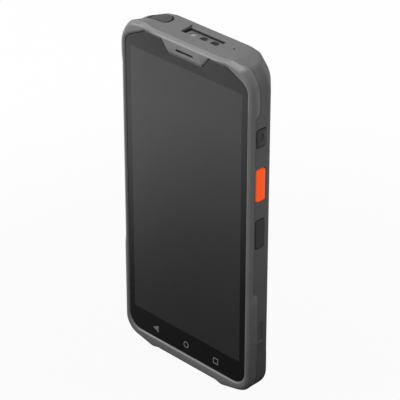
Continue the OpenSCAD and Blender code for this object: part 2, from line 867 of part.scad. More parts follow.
module jack_cover() {
    color([0.17, 0.17, 0.18])
        placed()
            difference() {
                union() {
                    intersection() {
                        waist_shape();
                        tall(top_z - 1.9, top_z + 1)
                            union() {
                                translate([-jack_x, jack_d])
                                    circle(jack_cover_r, $fn = 48);
                                translate([jack_hinge_x + 0.4, jack_d - jack_cover_r])
                                    square([-jack_x - jack_hinge_x - 0.4, 2 * jack_cover_r]);
                            }
                    }
                    intersection() {
                        waist_shape();
                        deep_rod(jack_hinge_x, jack_hinge_z, knuckle_r, jack_d - jack_cover_r, jack_d + jack_cover_r);
                    }
                    translate([-jack_x, jack_d, top_z - 2.9])
                        cylinder(h = 1.1, r = 1.2, $fn = 48);
                }
                deep_rod(jack_hinge_x, jack_hinge_z, pin_r + pin_fit, jack_d - 5, jack_d + 5);
            }
}

module cover_pins() {
    color([0.7, 0.7, 0.72])
        placed() {
            deep_rod(jack_hinge_x, jack_hinge_z, pin_r, jack_d - pin_half, jack_d + pin_half);
            deep_rod(port_hinge_x, port_hinge_z, pin_r, port_d - 4.2, port_d + 4.2);
        }
}

// ---------- bottom end ----------

module port_socket() {
    color([0.72, 0.72, 0.74])
        placed()
            difference() {
                tall(foot_h + 3.2, foot_h + 10.5)
                    rounded_rect([-port_half_w - 0.1, port_half_w + 0.1], [port_d - port_t / 2 - 0.15, port_d + port_t / 2 + 0.15], 1.5);
                tall(foot_h + 2, foot_h + 9.5)
                    rounded_rect([-port_half_w + 0.25, port_half_w - 0.25], [port_d - port_t / 2 + 0.2, port_d + port_t / 2 - 0.2], 1.3);
            }
}

module port_cover() {
    color([0.17, 0.17, 0.18])
        placed()
            difference() {
                union() {
                    tall(foot_h + 0.05, foot_h + 1.3)
                        rounded_rect([port_hinge_x + 0.3, 6.8], [port_d - 3.2, port_d + 3.2], 1.2);
                    deep_rod(port_hinge_x, port_hinge_z, barrel_r, port_d - 3.2, port_d + 3.2);
                    tall(foot_h + 1.2, foot_h + 2.4)
                        rounded_rect([-3.6, 3.6], [port_d - 1, port_d + 1], 0.9);
                }
                deep_rod(port_hinge_x, port_hinge_z, pin_r + pin_fit, port_d - 5, port_d + 5);
            }
}

module loudspeaker() {
    color([0.1, 0.1, 0.1])
        placed()
            difference() {
                block([7.5, 23], [board_back + 1.2, back_inner - 0.5], [10.5, 25]);
                deep(back_inner - 2, body_d)
                    rounded_rect([8.5, 21.8], [11.5, 23.6], 3);
            }
}

module speaker_mesh() {
    color([0.05, 0.05, 0.05])
        placed()
            block([8, 22], [back_inner - 0.4, back_inner - 0.15], [11, 24]);
}

module motor_can() {
    color([0.7, 0.7, 0.72])
        placed() {
            wide_rod(motor_d, motor_z, 2.3, -18, -9);
            wide_rod(motor_d, motor_z, 0.4, -22.2, -17.5);
            block([-17, -10], [board_back + 0.05, motor_d], [motor_z - 2.2, motor_z + 2.2]);
        }
}

module motor_weight() {
    color([0.5, 0.5, 0.48])
        placed()
            difference() {
                intersection() {
                    wide_rod(motor_d, motor_z, 2.3, -21.8, -18.6);
                    block([-23, -17], [motor_d - 5, motor_d + 5], [motor_z - 5, motor_z + 0.8]);
                }
                wide_rod(motor_d, motor_z, 0.45, -23, -17);
            }
}

// ---------- boards ----------

module main_board() {
    color([0.05, 0.3, 0.15])
        placed()
            difference() {
                union() {
                    block([-board_half_w, board_half_w], [board_front, board_back], [board_low, board_high - 8]);
                    block([-board_half_w, board_half_w - 4.4], [board_front, board_back], [board_low, board_high]);
                }
                deep_rod(camera_x - 30, board_low + 4, 1.1, 0, far);
                deep_rod(camera_x - 15, board_low + 4, 1.1, 0, far);
            }
}

module shield_cans() {
    color([0.75, 0.75, 0.76])
        placed() {
            deep(board_back, board_back + 1.2)
                rounded_rect([-22, -2], [board_low + 16, board_low + 38], 0.8);
            deep(board_back, board_back + 1.2)
                rounded_rect([0, 12], [board_low + 22, board_low + 38], 0.8);
            deep(board_front - 1.1, board_front)
                rounded_rect([-12, 12], [board_low + 18, board_low + 34], 0.8);
        }
}

module card_holder() {
    color([0.7, 0.7, 0.7])
        placed()
            block([9.5, 23.5], [board_back, board_back + 1.2], [board_low + 2, board_low + 16]);
}

module lower_board() {
    color([0.05, 0.3, 0.15])
        placed()
            difference() {
                block([0.4 - board_half_w, board_half_w - 0.4], [board_front - 0.1, board_back - 0.1], [5, 29]);
                deep_rod(4.4 - board_half_w, 26, 1.1, 0, 20);
                deep_rod(board_half_w - 4.4, 8, 1.1, 0, 20);
            }
}

module board_flex() {
    color([0.75, 0.45, 0.1])
        placed() {
            block([-5, 5], [board_front + 0.2, board_front + 0.4], [29, board_low]);
            block([-5, 5], [board_front - 0.4, board_front - 0.1], [24, 29.2]);
            block([-5, 5], [board_front - 0.4, board_front - 0.05], [board_low - 0.2, board_low + 5]);
            block([-5, 5], [board_front - 0.4, board_front + 0.4], [29.05, 29.3]);
            block([-5, 5], [board_front - 0.4, board_front + 0.4], [board_low - 0.3, board_low - 0.05]);
        }
}

// ---------- back ----------

module rear_camera() {
    color([0.1, 0.1, 0.11])
        placed()
            union() {
                block([camera_x - 4.6, camera_x + 4.6], [board_back + 0.1, back_inner - 3], [camera_z - 4.6, camera_z + 4.6]);
                deep_rod(camera_x, camera_z, 3.4, back_inner - 3.4, back_inner - 0.2);
            }
}

module camera_window() {
    color([0.06, 0.06, 0.07])
        placed()
            union() {
                deep_rod(camera_x, camera_z, 5.1, back_inner + 0.5, body_d);
                deep_rod(camera_x, camera_z, 4.4, back_inner, back_inner + 0.6);
            }
}

module flash_lens() {
    color([0.95, 0.93, 0.85])
        placed()
            deep_rod(camera_x - 9.5, camera_z, 2.05, back_inner - 1.2, body_d);
}

module battery() {
    color([0.12, 0.12, 0.13])
        placed()
            deep(board_back + 1.4, back_inner - 0.7)
                rounded_rect([1.4 - door_half_w, door_half_w - 1.4], [door_low + 0.8, door_high - 3.8], 2);
}

module battery_contacts() {
    color([0.85, 0.68, 0.25])
        placed() {
            block([-8, 8], [board_back + 0.05, board_back + 3.2], [door_high - 3.4, door_high - 0.4]);
            for (i = [0:3])
                block([-6.4 + i * 3.8, -5 + i * 3.8], [board_back + 1.6, board_back + 2.6], [door_high - 3.75, door_high - 3.3]);
        }
}

module battery_cover() {
    color([0.2, 0.2, 0.21])
        placed()
            difference() {
                union() {
                    deep(back_inner + 0.2, body_d - 0.1)
                        rounded_rect(
                            [-door_half_w + door_gap, door_half_w - door_gap], [door_low + door_gap, door_high - door_gap], 2.7);
                    for (x = [-18, 18])
                        block([x - 4, x + 4], [back_inner - 0.4, back_inner + 0.5], [door_high - 2.6, door_high - 0.6]);
                }
                deep(body_d - 0.6, body_d + 1)
                    rounded_rect([-8, 8], [door_high - 6, door_high - 3.2], 1.3);
            }
}

module antenna_coil() {
    color([0.2, 0.12, 0.08])
        placed()
            deep(back_inner + 0.02, back_inner + 0.2)
                difference() {
                    rounded_rect([-19, 19], [door_high - 50, door_high - 12], 3);
                    rounded_rect([-15, 15], [door_high - 46, door_high - 16], 2);
                }
}

module cradle_contacts() {
    color([0.85, 0.68, 0.25])
        placed()
            for (i = [0:3])
                deep_rod(-16 + i * 4, 14, 1.3, back_inner - 0.8, body_d - 0.2);
}

module housing_screws() {
    color([0.3, 0.3, 0.31])
        placed()
            for (p = screw_places)
                both_sides()
                    difference() {
                        union() {
                            deep_rod(p[0], p[1], screw_r, plate_back + 0.2, body_d - 1.9);
                            deep_rod(p[0], p[1], screw_head_r, body_d - 2, body_d - 0.9);
                        }
                        deep_rod(p[0], p[1], 0.6, body_d - 1.4, body_d);
                    }
}

front_bezel();
cover_glass();
touch_marks();
display_module();
mid_frame();
housing_seal();
rear_housing();
power_button();
scan_trigger_right();
function_key();
scan_trigger_left();
volume_rocker();
rocker_post();
side_switches();
side_key_flexes();
scan_window();
scan_engine();
scan_bracket();
earpiece_mesh();
earpiece_receiver();
loudspeaker();
speaker_mesh();
rear_camera();
camera_window();
flash_lens();
main_board();
shield_cans();
lower_board();
board_flex();
card_holder();
audio_jack();
jack_cover();
port_socket();
port_cover();
cover_pins();
battery();
battery_contacts();
battery_cover();
antenna_coil();
cradle_contacts();
motor_can();
motor_weight();
housing_screws();
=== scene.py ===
import logging
import math
from dataclasses import dataclass
from enum import Enum
from functools import cache
from typing import Callable, Optional, Sequence, Union

import bmesh
import bpy
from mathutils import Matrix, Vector


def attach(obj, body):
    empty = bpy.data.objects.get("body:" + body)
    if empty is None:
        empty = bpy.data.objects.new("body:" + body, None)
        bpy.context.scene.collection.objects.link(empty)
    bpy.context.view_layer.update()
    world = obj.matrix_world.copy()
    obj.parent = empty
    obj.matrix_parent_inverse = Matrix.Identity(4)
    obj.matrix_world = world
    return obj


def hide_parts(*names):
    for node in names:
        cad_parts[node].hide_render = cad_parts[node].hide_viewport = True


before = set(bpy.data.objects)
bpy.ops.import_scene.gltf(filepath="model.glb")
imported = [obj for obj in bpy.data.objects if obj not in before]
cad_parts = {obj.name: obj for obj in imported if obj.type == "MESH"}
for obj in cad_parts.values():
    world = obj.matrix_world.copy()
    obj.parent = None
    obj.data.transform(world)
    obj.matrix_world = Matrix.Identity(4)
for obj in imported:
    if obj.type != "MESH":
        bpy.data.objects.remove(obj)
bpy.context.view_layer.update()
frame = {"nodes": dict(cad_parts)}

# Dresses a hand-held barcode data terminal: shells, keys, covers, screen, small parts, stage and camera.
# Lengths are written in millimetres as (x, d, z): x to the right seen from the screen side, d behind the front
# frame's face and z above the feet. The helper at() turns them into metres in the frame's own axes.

LOG = logging.getLogger("terminal")

Piece = bpy.types.Object
Node = bpy.types.Node
Socket = bpy.types.NodeSocket
BMesh = bmesh.types.BMesh
Triple = tuple[float, float, float]
Colour = Triple
Point2 = tuple[float, float]
Loop = list[Vector]
Ring = list[bmesh.types.BMVert]
Depth = Union[float, Callable[[Point2], float]]

MM = 0.001
# distances under which points are merged, in metres
WELD, TURNED_WELD, CUT_WELD = 1e-7, 4e-7, 2e-6
# smallest half size and smallest radius of what is drawn, in millimetres
TINY = 1e-4
MIN_RADIUS = 0.3
BACK = Vector((0.0, 1.0, 0.0))
UP = Vector((0.0, 0.0, 1.0))

# the body, heights clear of it, and places that an opening shares with the piece in it
BODY_D = 17.2
BODY_H = 153.0
BODY_HALF_W = 37.0
FOOT_H = 0.7
FRAME_D = 2.4
BELOW, ABOVE = -4.0, 160.0
KEY_D = 5.6
DOOR_HALF_W, DOOR_LOW, DOOR_HIGH = 25.0, 33.0, 108.0
CAMERA_X, CAMERA_Z = 20.0, 136.0
JACK_X, JACK_D = -21.6, 11.2
JACK_HINGE_X, JACK_HINGE_Z = -27.6, 151.4
PORT_D = 8.9
SCREW_X = 27.999
SCREWS = tuple((sign * SCREW_X, z) for z in (20.0, 64.0, 121.0, 139.0) for sign in (-1.0, 1.0))
CONTACTS = tuple((-16.0 + i * 4, 14.0) for i in range(4))


class Axis(Enum):
    """Direction that a cutter or a small part points along."""

    RIGHT = "right"
    LEFT = "left"
    TOP = "top"
    BOTTOM = "bottom"
    BACK = "back"


# ---------------------------------------------------------------------------
# small mesh helpers
# ---------------------------------------------------------------------------


def at(x: float, d: float, z: float) -> Vector:
    """Returns the frame's point, in metres, of a place given in millimetres as (x, d, z)."""
    return Vector((x * MM, (d - BODY_D / 2) * MM, z * MM))


def clamp(value: float) -> float:
    """Returns a value held between 0 and 1."""
    return min(max(value, 0.0), 1.0)


def smoothstep(low: float, high: float, value: float) -> float:
    """Returns a soft step from 0 at low to 1 at high."""
    t = clamp((value - low) / (high - low))
    return t * t * (3 - 2 * t)


def link(name: str, mesh: bpy.types.Mesh) -> Piece:
    """Links a mesh to the scene as an object at the origin.

    Args:
        name: the object's name.
        mesh: its mesh, with its place in its points.

    Returns:
        The new object.
    """
    piece = bpy.data.objects.new(name, mesh)
    bpy.context.scene.collection.objects.link(piece)
    return piece


def discard(piece: Piece) -> None:
    """Removes an object together with its mesh."""
    mesh = piece.data
    bpy.data.objects.remove(piece)
    bpy.data.meshes.remove(mesh)


def mesh_from(name: str, bm: BMesh, weld: float = WELD) -> bpy.types.Mesh:
    """Turns a bmesh into a mesh with its doubles merged and its faces pointing outwards.

    Args:
        name: the mesh's name.
        bm: the bmesh, which is freed.
        weld: distance under which points are merged, in metres.

    Returns:
        The mesh.
    """
    bmesh.ops.remove_doubles(bm, verts=bm.verts, dist=weld)
    bmesh.ops.recalc_face_normals(bm, faces=bm.faces)
    mesh = bpy.data.meshes.new(name)
    bm.to_mesh(mesh)
    bm.free()
    return mesh


def shade(piece: Piece, angle: float) -> None:
    """Shades a piece smooth, with the edges above an angle kept sharp.

    Args:
        piece: the object.
        angle: the smallest sharp angle, in degrees.
    """
    bm = bmesh.new()
    bm.from_mesh(piece.data)
    limit = math.radians(angle)
    for face in bm.faces:
        face.smooth = True
    for edge in bm.edges:
        edge.smooth = len(edge.link_faces) == 2 and edge.calc_face_angle(0.0) < limit
    bm.to_mesh(piece.data)
    bm.free()


def apply_modifiers(piece: Piece) -> None:
    """Puts the result of a piece's modifiers into its mesh and removes them."""
    bpy.context.view_layer.update()
    graph = bpy.context.evaluated_depsgraph_get()
    made = bpy.data.meshes.new_from_object(piece.evaluated_get(graph))
    piece.modifiers.clear()
    old = piece.data
    piece.data = made
    bpy.data.meshes.remove(old)


def bevel(piece: Piece, width: float, angle: float) -> None:
    """Rounds the sharp edges of a piece with two faces each.

    Args:
        piece: the object.
        width: width of the rounding in millimetres.
        angle: the smallest angle that is rounded, in degrees.
    """
    mod = piece.modifiers.new("round", "BEVEL")
    mod.width = width * MM
    mod.segments = 2
    mod.limit_method = "ANGLE"
    mod.angle_limit = math.radians(angle)
    apply_modifiers(piece)


def combine(piece: Piece, other: Piece, operation: str, own: bool = False) -> None:
    """Cuts, adds or keeps the common part of two closed pieces; the second one is used up.

    Args:
        piece: the piece that is changed.
        other: the second piece.
        operation: DIFFERENCE, UNION or INTERSECT.
        own: whether the second piece is made of parts that overlap.
    """
    mod = piece.modifiers.new("combine", "BOOLEAN")
    mod.operation = operation
    mod.solver = "EXACT"
    mod.use_self = own
    mod.object = other
    apply_modifiers(piece)
    discard(other)


def join(name: str, pieces: Sequence[Piece]) -> Piece:
    """Joins pieces into one new object and removes them.

    Args:
        name: the new object's name.
        pieces: the objects to join.

    Returns:
        The joined object, with the materials of all of them.
    """
    slots: list[bpy.types.Material] = []
    bm = bmesh.new()
    for piece in pieces:
        first = len(bm.faces)
        bm.from_mesh(piece.data)
        bm.faces.ensure_lookup_table()
        names = list(piece.data.materials)
        for face in bm.faces[first:]:
            mat = names[face.material_index] if names else None
            if mat is not None:
                if mat not in slots:
                    slots.append(mat)
                face.material_index = slots.index(mat)
    mesh = bpy.data.meshes.new(name)
    bm.to_mesh(mesh)
    bm.free()
    for mat in slots:
        mesh.materials.append(mat)
    for piece in pieces:
        discard(piece)
    return link(name, mesh)


# ---------------------------------------------------------------------------
# outlines
# ---------------------------------------------------------------------------


def corner_arc(a: Point2, b: Point2, c: Point2, d1: float, d2: float, r: float, steps: int) -> list[Point2]:
    """Returns the rounded corner at b of an outline that runs anticlockwise.

    Args:
        a: the corner before it.
        b: the corner.
        c: the corner after it.
        d1: how far the edge before it is moved in.
        d2: how far the edge after it is moved in.
        r: radius before the edges are moved.
        steps: parts of the arc.

    Returns:
        The arc's points.
    """

    def inward(p: Point2, q: Point2) -> Point2:
        """Returns the inward normal of the edge from p to q."""
        length = math.hypot(q[0] - p[0], q[1] - p[1])
        return (-(q[1] - p[1]) / length, (q[0] - p[0]) / length)

    n1, n2 = inward(a, b), inward(b, c)
    dot = n1[0] * n2[0] + n1[1] * n2[1]
    shift = [((d1 - dot * d2) * n1[i] + (d2 - dot * d1) * n2[i]) / (1 - dot * dot) for i in (0, 1)]
    k = [(n1[i] + n2[i]) / (1 + dot) for i in (0, 1)]
    rr = max(r - (d1 + d2) / 2, MIN_RADIUS)
    start = math.atan2(n1[1], n1[0])
    turn = (math.atan2(n2[1], n2[0]) - start + 4 * math.pi) % (2 * math.pi)
    if turn > math.pi:
        turn, rr = turn - 2 * math.pi, -rr
    arc = []
    for i in range(steps + 1):
        t = start + turn * i / steps
        arc.append((b[0] + shift[0] + rr * (k[0] - math.cos(t)), b[1] + shift[1] + rr * (k[1] - math.sin(t))))
    return arc


@dataclass
class Outline:
    """Closed outline with rounded corners, sampled alike at every inset.

    Attributes:
        corners: the corners, anticlockwise seen from the front.
        radii: one radius per corner.
        spacing: distance between the points on each straight edge.
        steps: parts of each rounded corner.
        counts: parts of each straight edge, worked out from the spacing if they aren't given.
    """

    corners: list[Point2]
    radii: list[float]
    spacing: Sequence[float] = ()
    steps: int = 8
    counts: Sequence[int] = ()

    def __post_init__(self) -> None:
        """Works out how many parts each straight edge gets."""
        if self.counts:
            return
        arcs = self.arcs([0.0] * len(self.corners))
        self.counts = [
            max(int(math.hypot(arc[0][0] - last[-1][0], arc[0][1] - last[-1][1]) / spacing), 2)
            for last, arc, spacing in zip(arcs, arcs[1:] + arcs[:1], self.spacing)]

    def arcs(self, insets: Sequence[float]) -> list[list[Point2]]:
        """Returns the rounded corners for edges moved in by insets."""
        n = len(self.corners)
        return [
            corner_arc(
                self.corners[i - 1], self.corners[i], self.corners[(i + 1) % n],
                insets[i - 1], insets[i], self.radii[i], self.steps)
            for i in range(n)
        ]

    def points(self, insets: Sequence[float]) -> list[Point2]:
        """Returns all points for edges moved in by insets."""
        arcs = self.arcs(insets)
        out: list[Point2] = []
        for i, arc in enumerate(arcs):
            out.extend(arc)
            p, q = arc[-1], arcs[(i + 1) % len(arcs)][0]
            count = self.counts[i]
            out.extend(
                (p[0] + (q[0] - p[0]) * j / count, p[1] + (q[1] - p[1]) * j / count) for j in range(1, count))
        return out


def body_corners(w: float, low: float, high: float) -> list[Point2]:
    """Returns the corners of the body's outline for a half width and two ends."""
    return [
        (-21.6, low), (21.6, low), (w, low + 3.5), (w, high - 7.2), (w - 5.4, high - 1.3), (24.4, high),
        (-24.4, high), (-w + 5.4, high - 1.3), (-w, high - 7.2), (-w, low + 3.5),
    ]


BODY_RADII = [3.0, 3.0, 8.8, 14.4, 4.4, 13.8, 13.8, 4.4, 14.4, 8.8]
BODY_SPACING = [0.6, 1.2, 1.3, 1.0, 0.9, 0.5, 0.9, 1.0, 1.3, 1.2]


def even(inset: float) -> list[float]:
    """Returns the same inset for every edge of the body's outline."""
    return [inset] * len(BODY_RADII)


def edges(b: float, low: float, s: float, u: float, v: float, t: float) -> list[float]:
    """Returns one inset per edge: bottom, lower corner, side, two upper corner edges and top."""
    return [b, low, s, u, v, t, v, u, s, low]


WAIST = Outline(body_corners(BODY_HALF_W, FOOT_H, BODY_H), BODY_RADII, BODY_SPACING)
RAISED = Outline(body_corners(BODY_HALF_W + 0.4, 0.0, BODY_H + 1.02), BODY_RADII, BODY_SPACING)
RAISED.counts = WAIST.counts

# depth where the rounding of the rear edge starts
ROUND_D = 16.2
REAR_RINGS = [
    (1.9, even(0.0)),
    (9.9, edges(0, 0, 0, 0, -0.3, -0.3)),
    (11.2, edges(0, 0, 0.4, 0.4, -0.24, -0.39)),
    (ROUND_D, edges(0.0, 0.15, 5.2, 3.4, 0.0, -0.6)),
    (BODY_D, edges(1.2, 1.6, 6.35, 4.8, 1.1, 0.0)),
]
# edges that slant in towards the back
SLANTED_EDGES = (2, 3, 7, 8)
# heights that part the lower corners, the sides and the upper corners
LOW_END_Z, HIGH_END_Z = 20.0, 80.0


def corner_lift(p: Point2, d: float) -> float:
    """Returns how far a point of the outline is raised, from 0 on the waist to 1 on a corner."""
    x, z = abs(p[0]), p[1]
    if z > HIGH_END_Z:
        t = clamp((x - 18.3) / 6.5)
        share = 0.7 * t + 0.3 * smoothstep(0.0, 1.0, t)
        return share * smoothstep(132.9, 136.6, z) * smoothstep(8.0, 1.9, d)
    foot = clamp((x - 17.6) / 3.0) * smoothstep(51.3, 46.4, z)
    return foot * (smoothstep(40.0, 32.0, x) if d > FRAME_D and z < LOW_END_Z else 1.0)


def frame_depth(p: Point2) -> float:
    """Returns how deep the front frame reaches at a point of the outline."""
    x, z = abs(p[0]), p[1]
    zone = smoothstep(132.3, 134.0, z) if z > HIGH_END_Z else smoothstep(51.9, 50.2, z)
    return FRAME_D + 2.2 * min(clamp((x - 26.5) / 6.5), zone)


def ring_insets(d: float) -> list[float]:
    """Returns the insets of the rear housing at a depth, with its profile's corners softened."""

    def raw(depth: float) -> list[float]:
        """Returns the insets on the straight lines of the profile."""
        depth = min(max(depth, REAR_RINGS[0][0]), REAR_RINGS[-1][0])
        for (a, ia), (b, ib) in zip(REAR_RINGS, REAR_RINGS[1:]):
            if depth <= b:
                t = (depth - a) / (b - a)
                return [p + (q - p) * t for p, q in zip(ia, ib)]
        return REAR_RINGS[-1][1]

    if d <= ROUND_D:
        reach = min(0.8, ROUND_D - d)
        samples = [raw(d + reach * k / 4) for k in range(-4, 5)]
        return [sum(col) / 9 for col in zip(*samples)]
    s = min(d - ROUND_D, 1.0)
    arc = 1 - math.sqrt(max(1 - s * s, 0.0))
    out = []
    for i, (p, q) in enumerate(zip(REAR_RINGS[3][1], REAR_RINGS[4][1])):
        straight = 0.85 if i in SLANTED_EDGES else 0.1
        out.append(p + (q - p) * (straight * s + (1 - straight) * arc))
    return out


def outer_points(insets: Sequence[float], depth: Depth) -> Loop:
    """Returns one ring of the outer surface.

    Args:
        insets: how far each edge is moved in.
        depth: the ring's depth, or a function that gives it for each point of the waist's outline.

    Returns:
        The ring's points in the frame.
    """
    low, high, base = WAIST.points(insets), RAISED.points(insets), WAIST.points(even(0.0))
    ring = []
    for p, q, ref in zip(low, high, base):
        d = depth(ref) if callable(depth) else depth
        w = corner_lift(ref, d) if d < frame_depth(ref) + 0.05 or not LOW_END_Z < ref[1] < HIGH_END_Z else 0.0
        ring.append(at(p[0] + (q[0] - p[0]) * w, d, p[1] + (q[1] - p[1]) * w))
    return ring


def level(points: Sequence[Point2], d: float) -> Loop:
    """Returns drawn points (x, z) at one depth."""
    return [at(x, d, z) for x, z in points]


def wall(bm: BMesh, loops: Sequence[Loop]) -> list[Ring]:
    """Adds loops of as many points each, joined by four-sided faces, and returns their rings."""
    rings = [[bm.verts.new(p) for p in loop] for loop in loops]
    for a, b in zip(rings, rings[1:]):
        for i in range(len(a)):
            j = (i + 1) % len(a)
            bm.faces.new((a[i], a[j], b[j], b[i]))
    return rings


def solid(name: str, loops: Sequence[Loop], weld: float = WELD) -> Piece:
    """Returns a closed object that runs through loops of as many points each.

    Args:
        name: the object's name.
        loops: its loops, from one end to the other.
        weld: distance under which points are merged, in metres.

    Returns:
        The object.
    """
    bm = bmesh.new()
    rings = wall(bm, loops)
    bm.faces.new(rings[0])
    bm.faces.new(rings[-1])
    return link(name, mesh_from(name, bm, weld))


def fill_between(bm: BMesh, rings: Sequence[Ring]) -> None:
    """Fills the flat area inside the first ring and outside the others."""
    lines = []
    for ring in rings:
        for i in range(len(ring)):
            a, b = ring[i], ring[(i + 1) % len(ring)]
            lines.append(bm.edges.get((a, b)) or bm.edges.new((a, b)))
    bmesh.ops.triangle_fill(bm, use_beauty=True, use_dissolve=False, edges=lines)


def rounded_loop(cx: float, cy: float, hx: float, hy: float, r: float, steps: int = 8) -> list[Point2]:
    """Returns a rectangle with rounded corners.

    Args:
        cx: middle along the first direction.
        cy: middle along the second direction.
        hx: half length along the first direction.
        hy: half length along the second direction.
        r: radius of the corners.
        steps: parts of each corner.

    Returns:
        The points, anticlockwise.
    """
    r = min(r, hx - TINY, hy - TINY)
    out = []
    for sx, sy, start in ((1, 1, 0.0), (-1, 1, 90.0), (-1, -1, 180.0), (1, -1, 270.0)):
        for i in range(steps + 1):
            t = math.radians(start + 90.0 * i / steps)
            out.append((cx + sx * (hx - r) + r * math.cos(t), cy + sy * (hy - r) + r * math.sin(t)))
    return out


def oriented(axis: Axis, u: float, v: float, depth: float) -> Vector:
    """Places a drawn point on one side of the body.

    Args:
        axis: the side.
        u: the first drawn direction: d on the right and left, x elsewhere.
        v: the second one: z on the right, left and back, d at the ends.
        depth: the place along the side's own direction: x, z or d.

    Returns:
        The frame's point.
    """
    if axis is Axis.RIGHT:
        return at(depth, u, v)
    if axis is Axis.LEFT:
        return at(-depth, u, v)
    if axis in (Axis.TOP, Axis.BOTTOM):
        return at(u, v, depth)
    return at(u, depth, v)


def plug(
        name: str, axis: Axis, centre: Point2, half: Point2, radius: float, levels: Sequence[Point2],
        steps: int = 8) -> Piece:
    """Returns a bar with rounded corners, used as a cutter or as a small part.

    Args:
        name: the object's name.
        axis: side of the body that it points to.
        centre: middle, in the side's two drawn directions.
        half: half sizes in those directions.
        radius: radius of its corners.
        levels: places along the side's direction, each with its growth.
        steps: parts of each corner.

    Returns:
        The closed object.
    """
    loops = []
    for depth, grow in levels:
        drawn = rounded_loop(*centre, half[0] + grow, half[1] + grow, max(radius + grow, 0.02), steps)
        loops.append([oriented(axis, u, v, depth) for u, v in drawn])
    return solid(name, loops)


def flared(depth: float, surface: float, flare: float = 0.16) -> tuple[Point2, ...]:
    """Returns the levels of a cutter whose mouth opens out.

    Args:
        depth: bottom of the hole.
        surface: the face that it is cut in.
        flare: width of the chamfer.

    Returns:
        The levels.
    """
    sign = 1.0 if surface > depth else -1.0
    return (
        (depth, 0.0), (surface - sign * flare, 0.0), (surface, flare),
        (surface + sign * 0.2, flare + 0.2), (surface + sign * 4.0, flare + 0.2))


def prism(name: str, axis: Axis, corners: Sequence[Point2], low: float, high: float) -> Piece:
    """Returns a straight prism over a drawn polygon.

    Args:
        name: the object's name.
        axis: side of the body that it points to.
        corners: the drawn polygon.
        low: start along the side's direction.
        high: its end.

    Returns:
        The closed object.
    """
    return solid(name, [[oriented(axis, u, v, depth) for u, v in corners] for depth in (low, high)])


def block(name: str, x: Point2, d: Point2, z: Point2) -> Piece:
    """Returns a box between limits in x, d and z, for cutting or joining."""
    return prism(name, Axis.BACK, [(x[0], z[0]), (x[1], z[0]), (x[1], z[1]), (x[0], z[1])], d[0], d[1])


def circle(centre: Vector, direction: Vector, radius: float, sides: int) -> Loop:
    """Returns a circle square to a unit vector, with its radius in millimetres."""
    side = direction.orthogonal().normalized()
    other = direction.cross(side)
    turns = [math.tau * i / sides for i in range(sides)]
    return [centre + (side * math.cos(t) + other * math.sin(t)) * radius * MM for t in turns]


def rod(name: str, start: Vector, end: Vector, radius: float, sides: int = 24) -> Piece:
    """Returns a round bar between two points of the frame, with its radius in millimetres."""
    direction = (end - start).normalized()
    return solid(name, [circle(p, direction, radius, sides) for p in (start, end)])


def pin(name: str, x: float, z: float, d: Point2, radius: float, sides: int = 24) -> Piece:
    """Returns a round bar at (x, z) that runs from one depth to another."""
    return rod(name, at(x, d[0], z), at(x, d[1], z), radius, sides)


def turned(
        name: str, centre: Vector, direction: Vector, profile: Sequence[Point2], sides: int) -> Piece:
    """Returns a turned part.

    Args:
        name: the object's name.
        centre: point on its axis, in the frame.
        direction: the axis, as a unit vector.
        profile: (radius, height) in millimetres from one end of the axis to the other.
        sides: faces around it.

    Returns:
        The closed object.
    """
    return solid(name, [
        circle(centre + direction * height * MM, direction, max(radius, TINY), sides)
        for radius, height in profile], TURNED_WELD)


# ---------------------------------------------------------------------------
# finishes
# ---------------------------------------------------------------------------


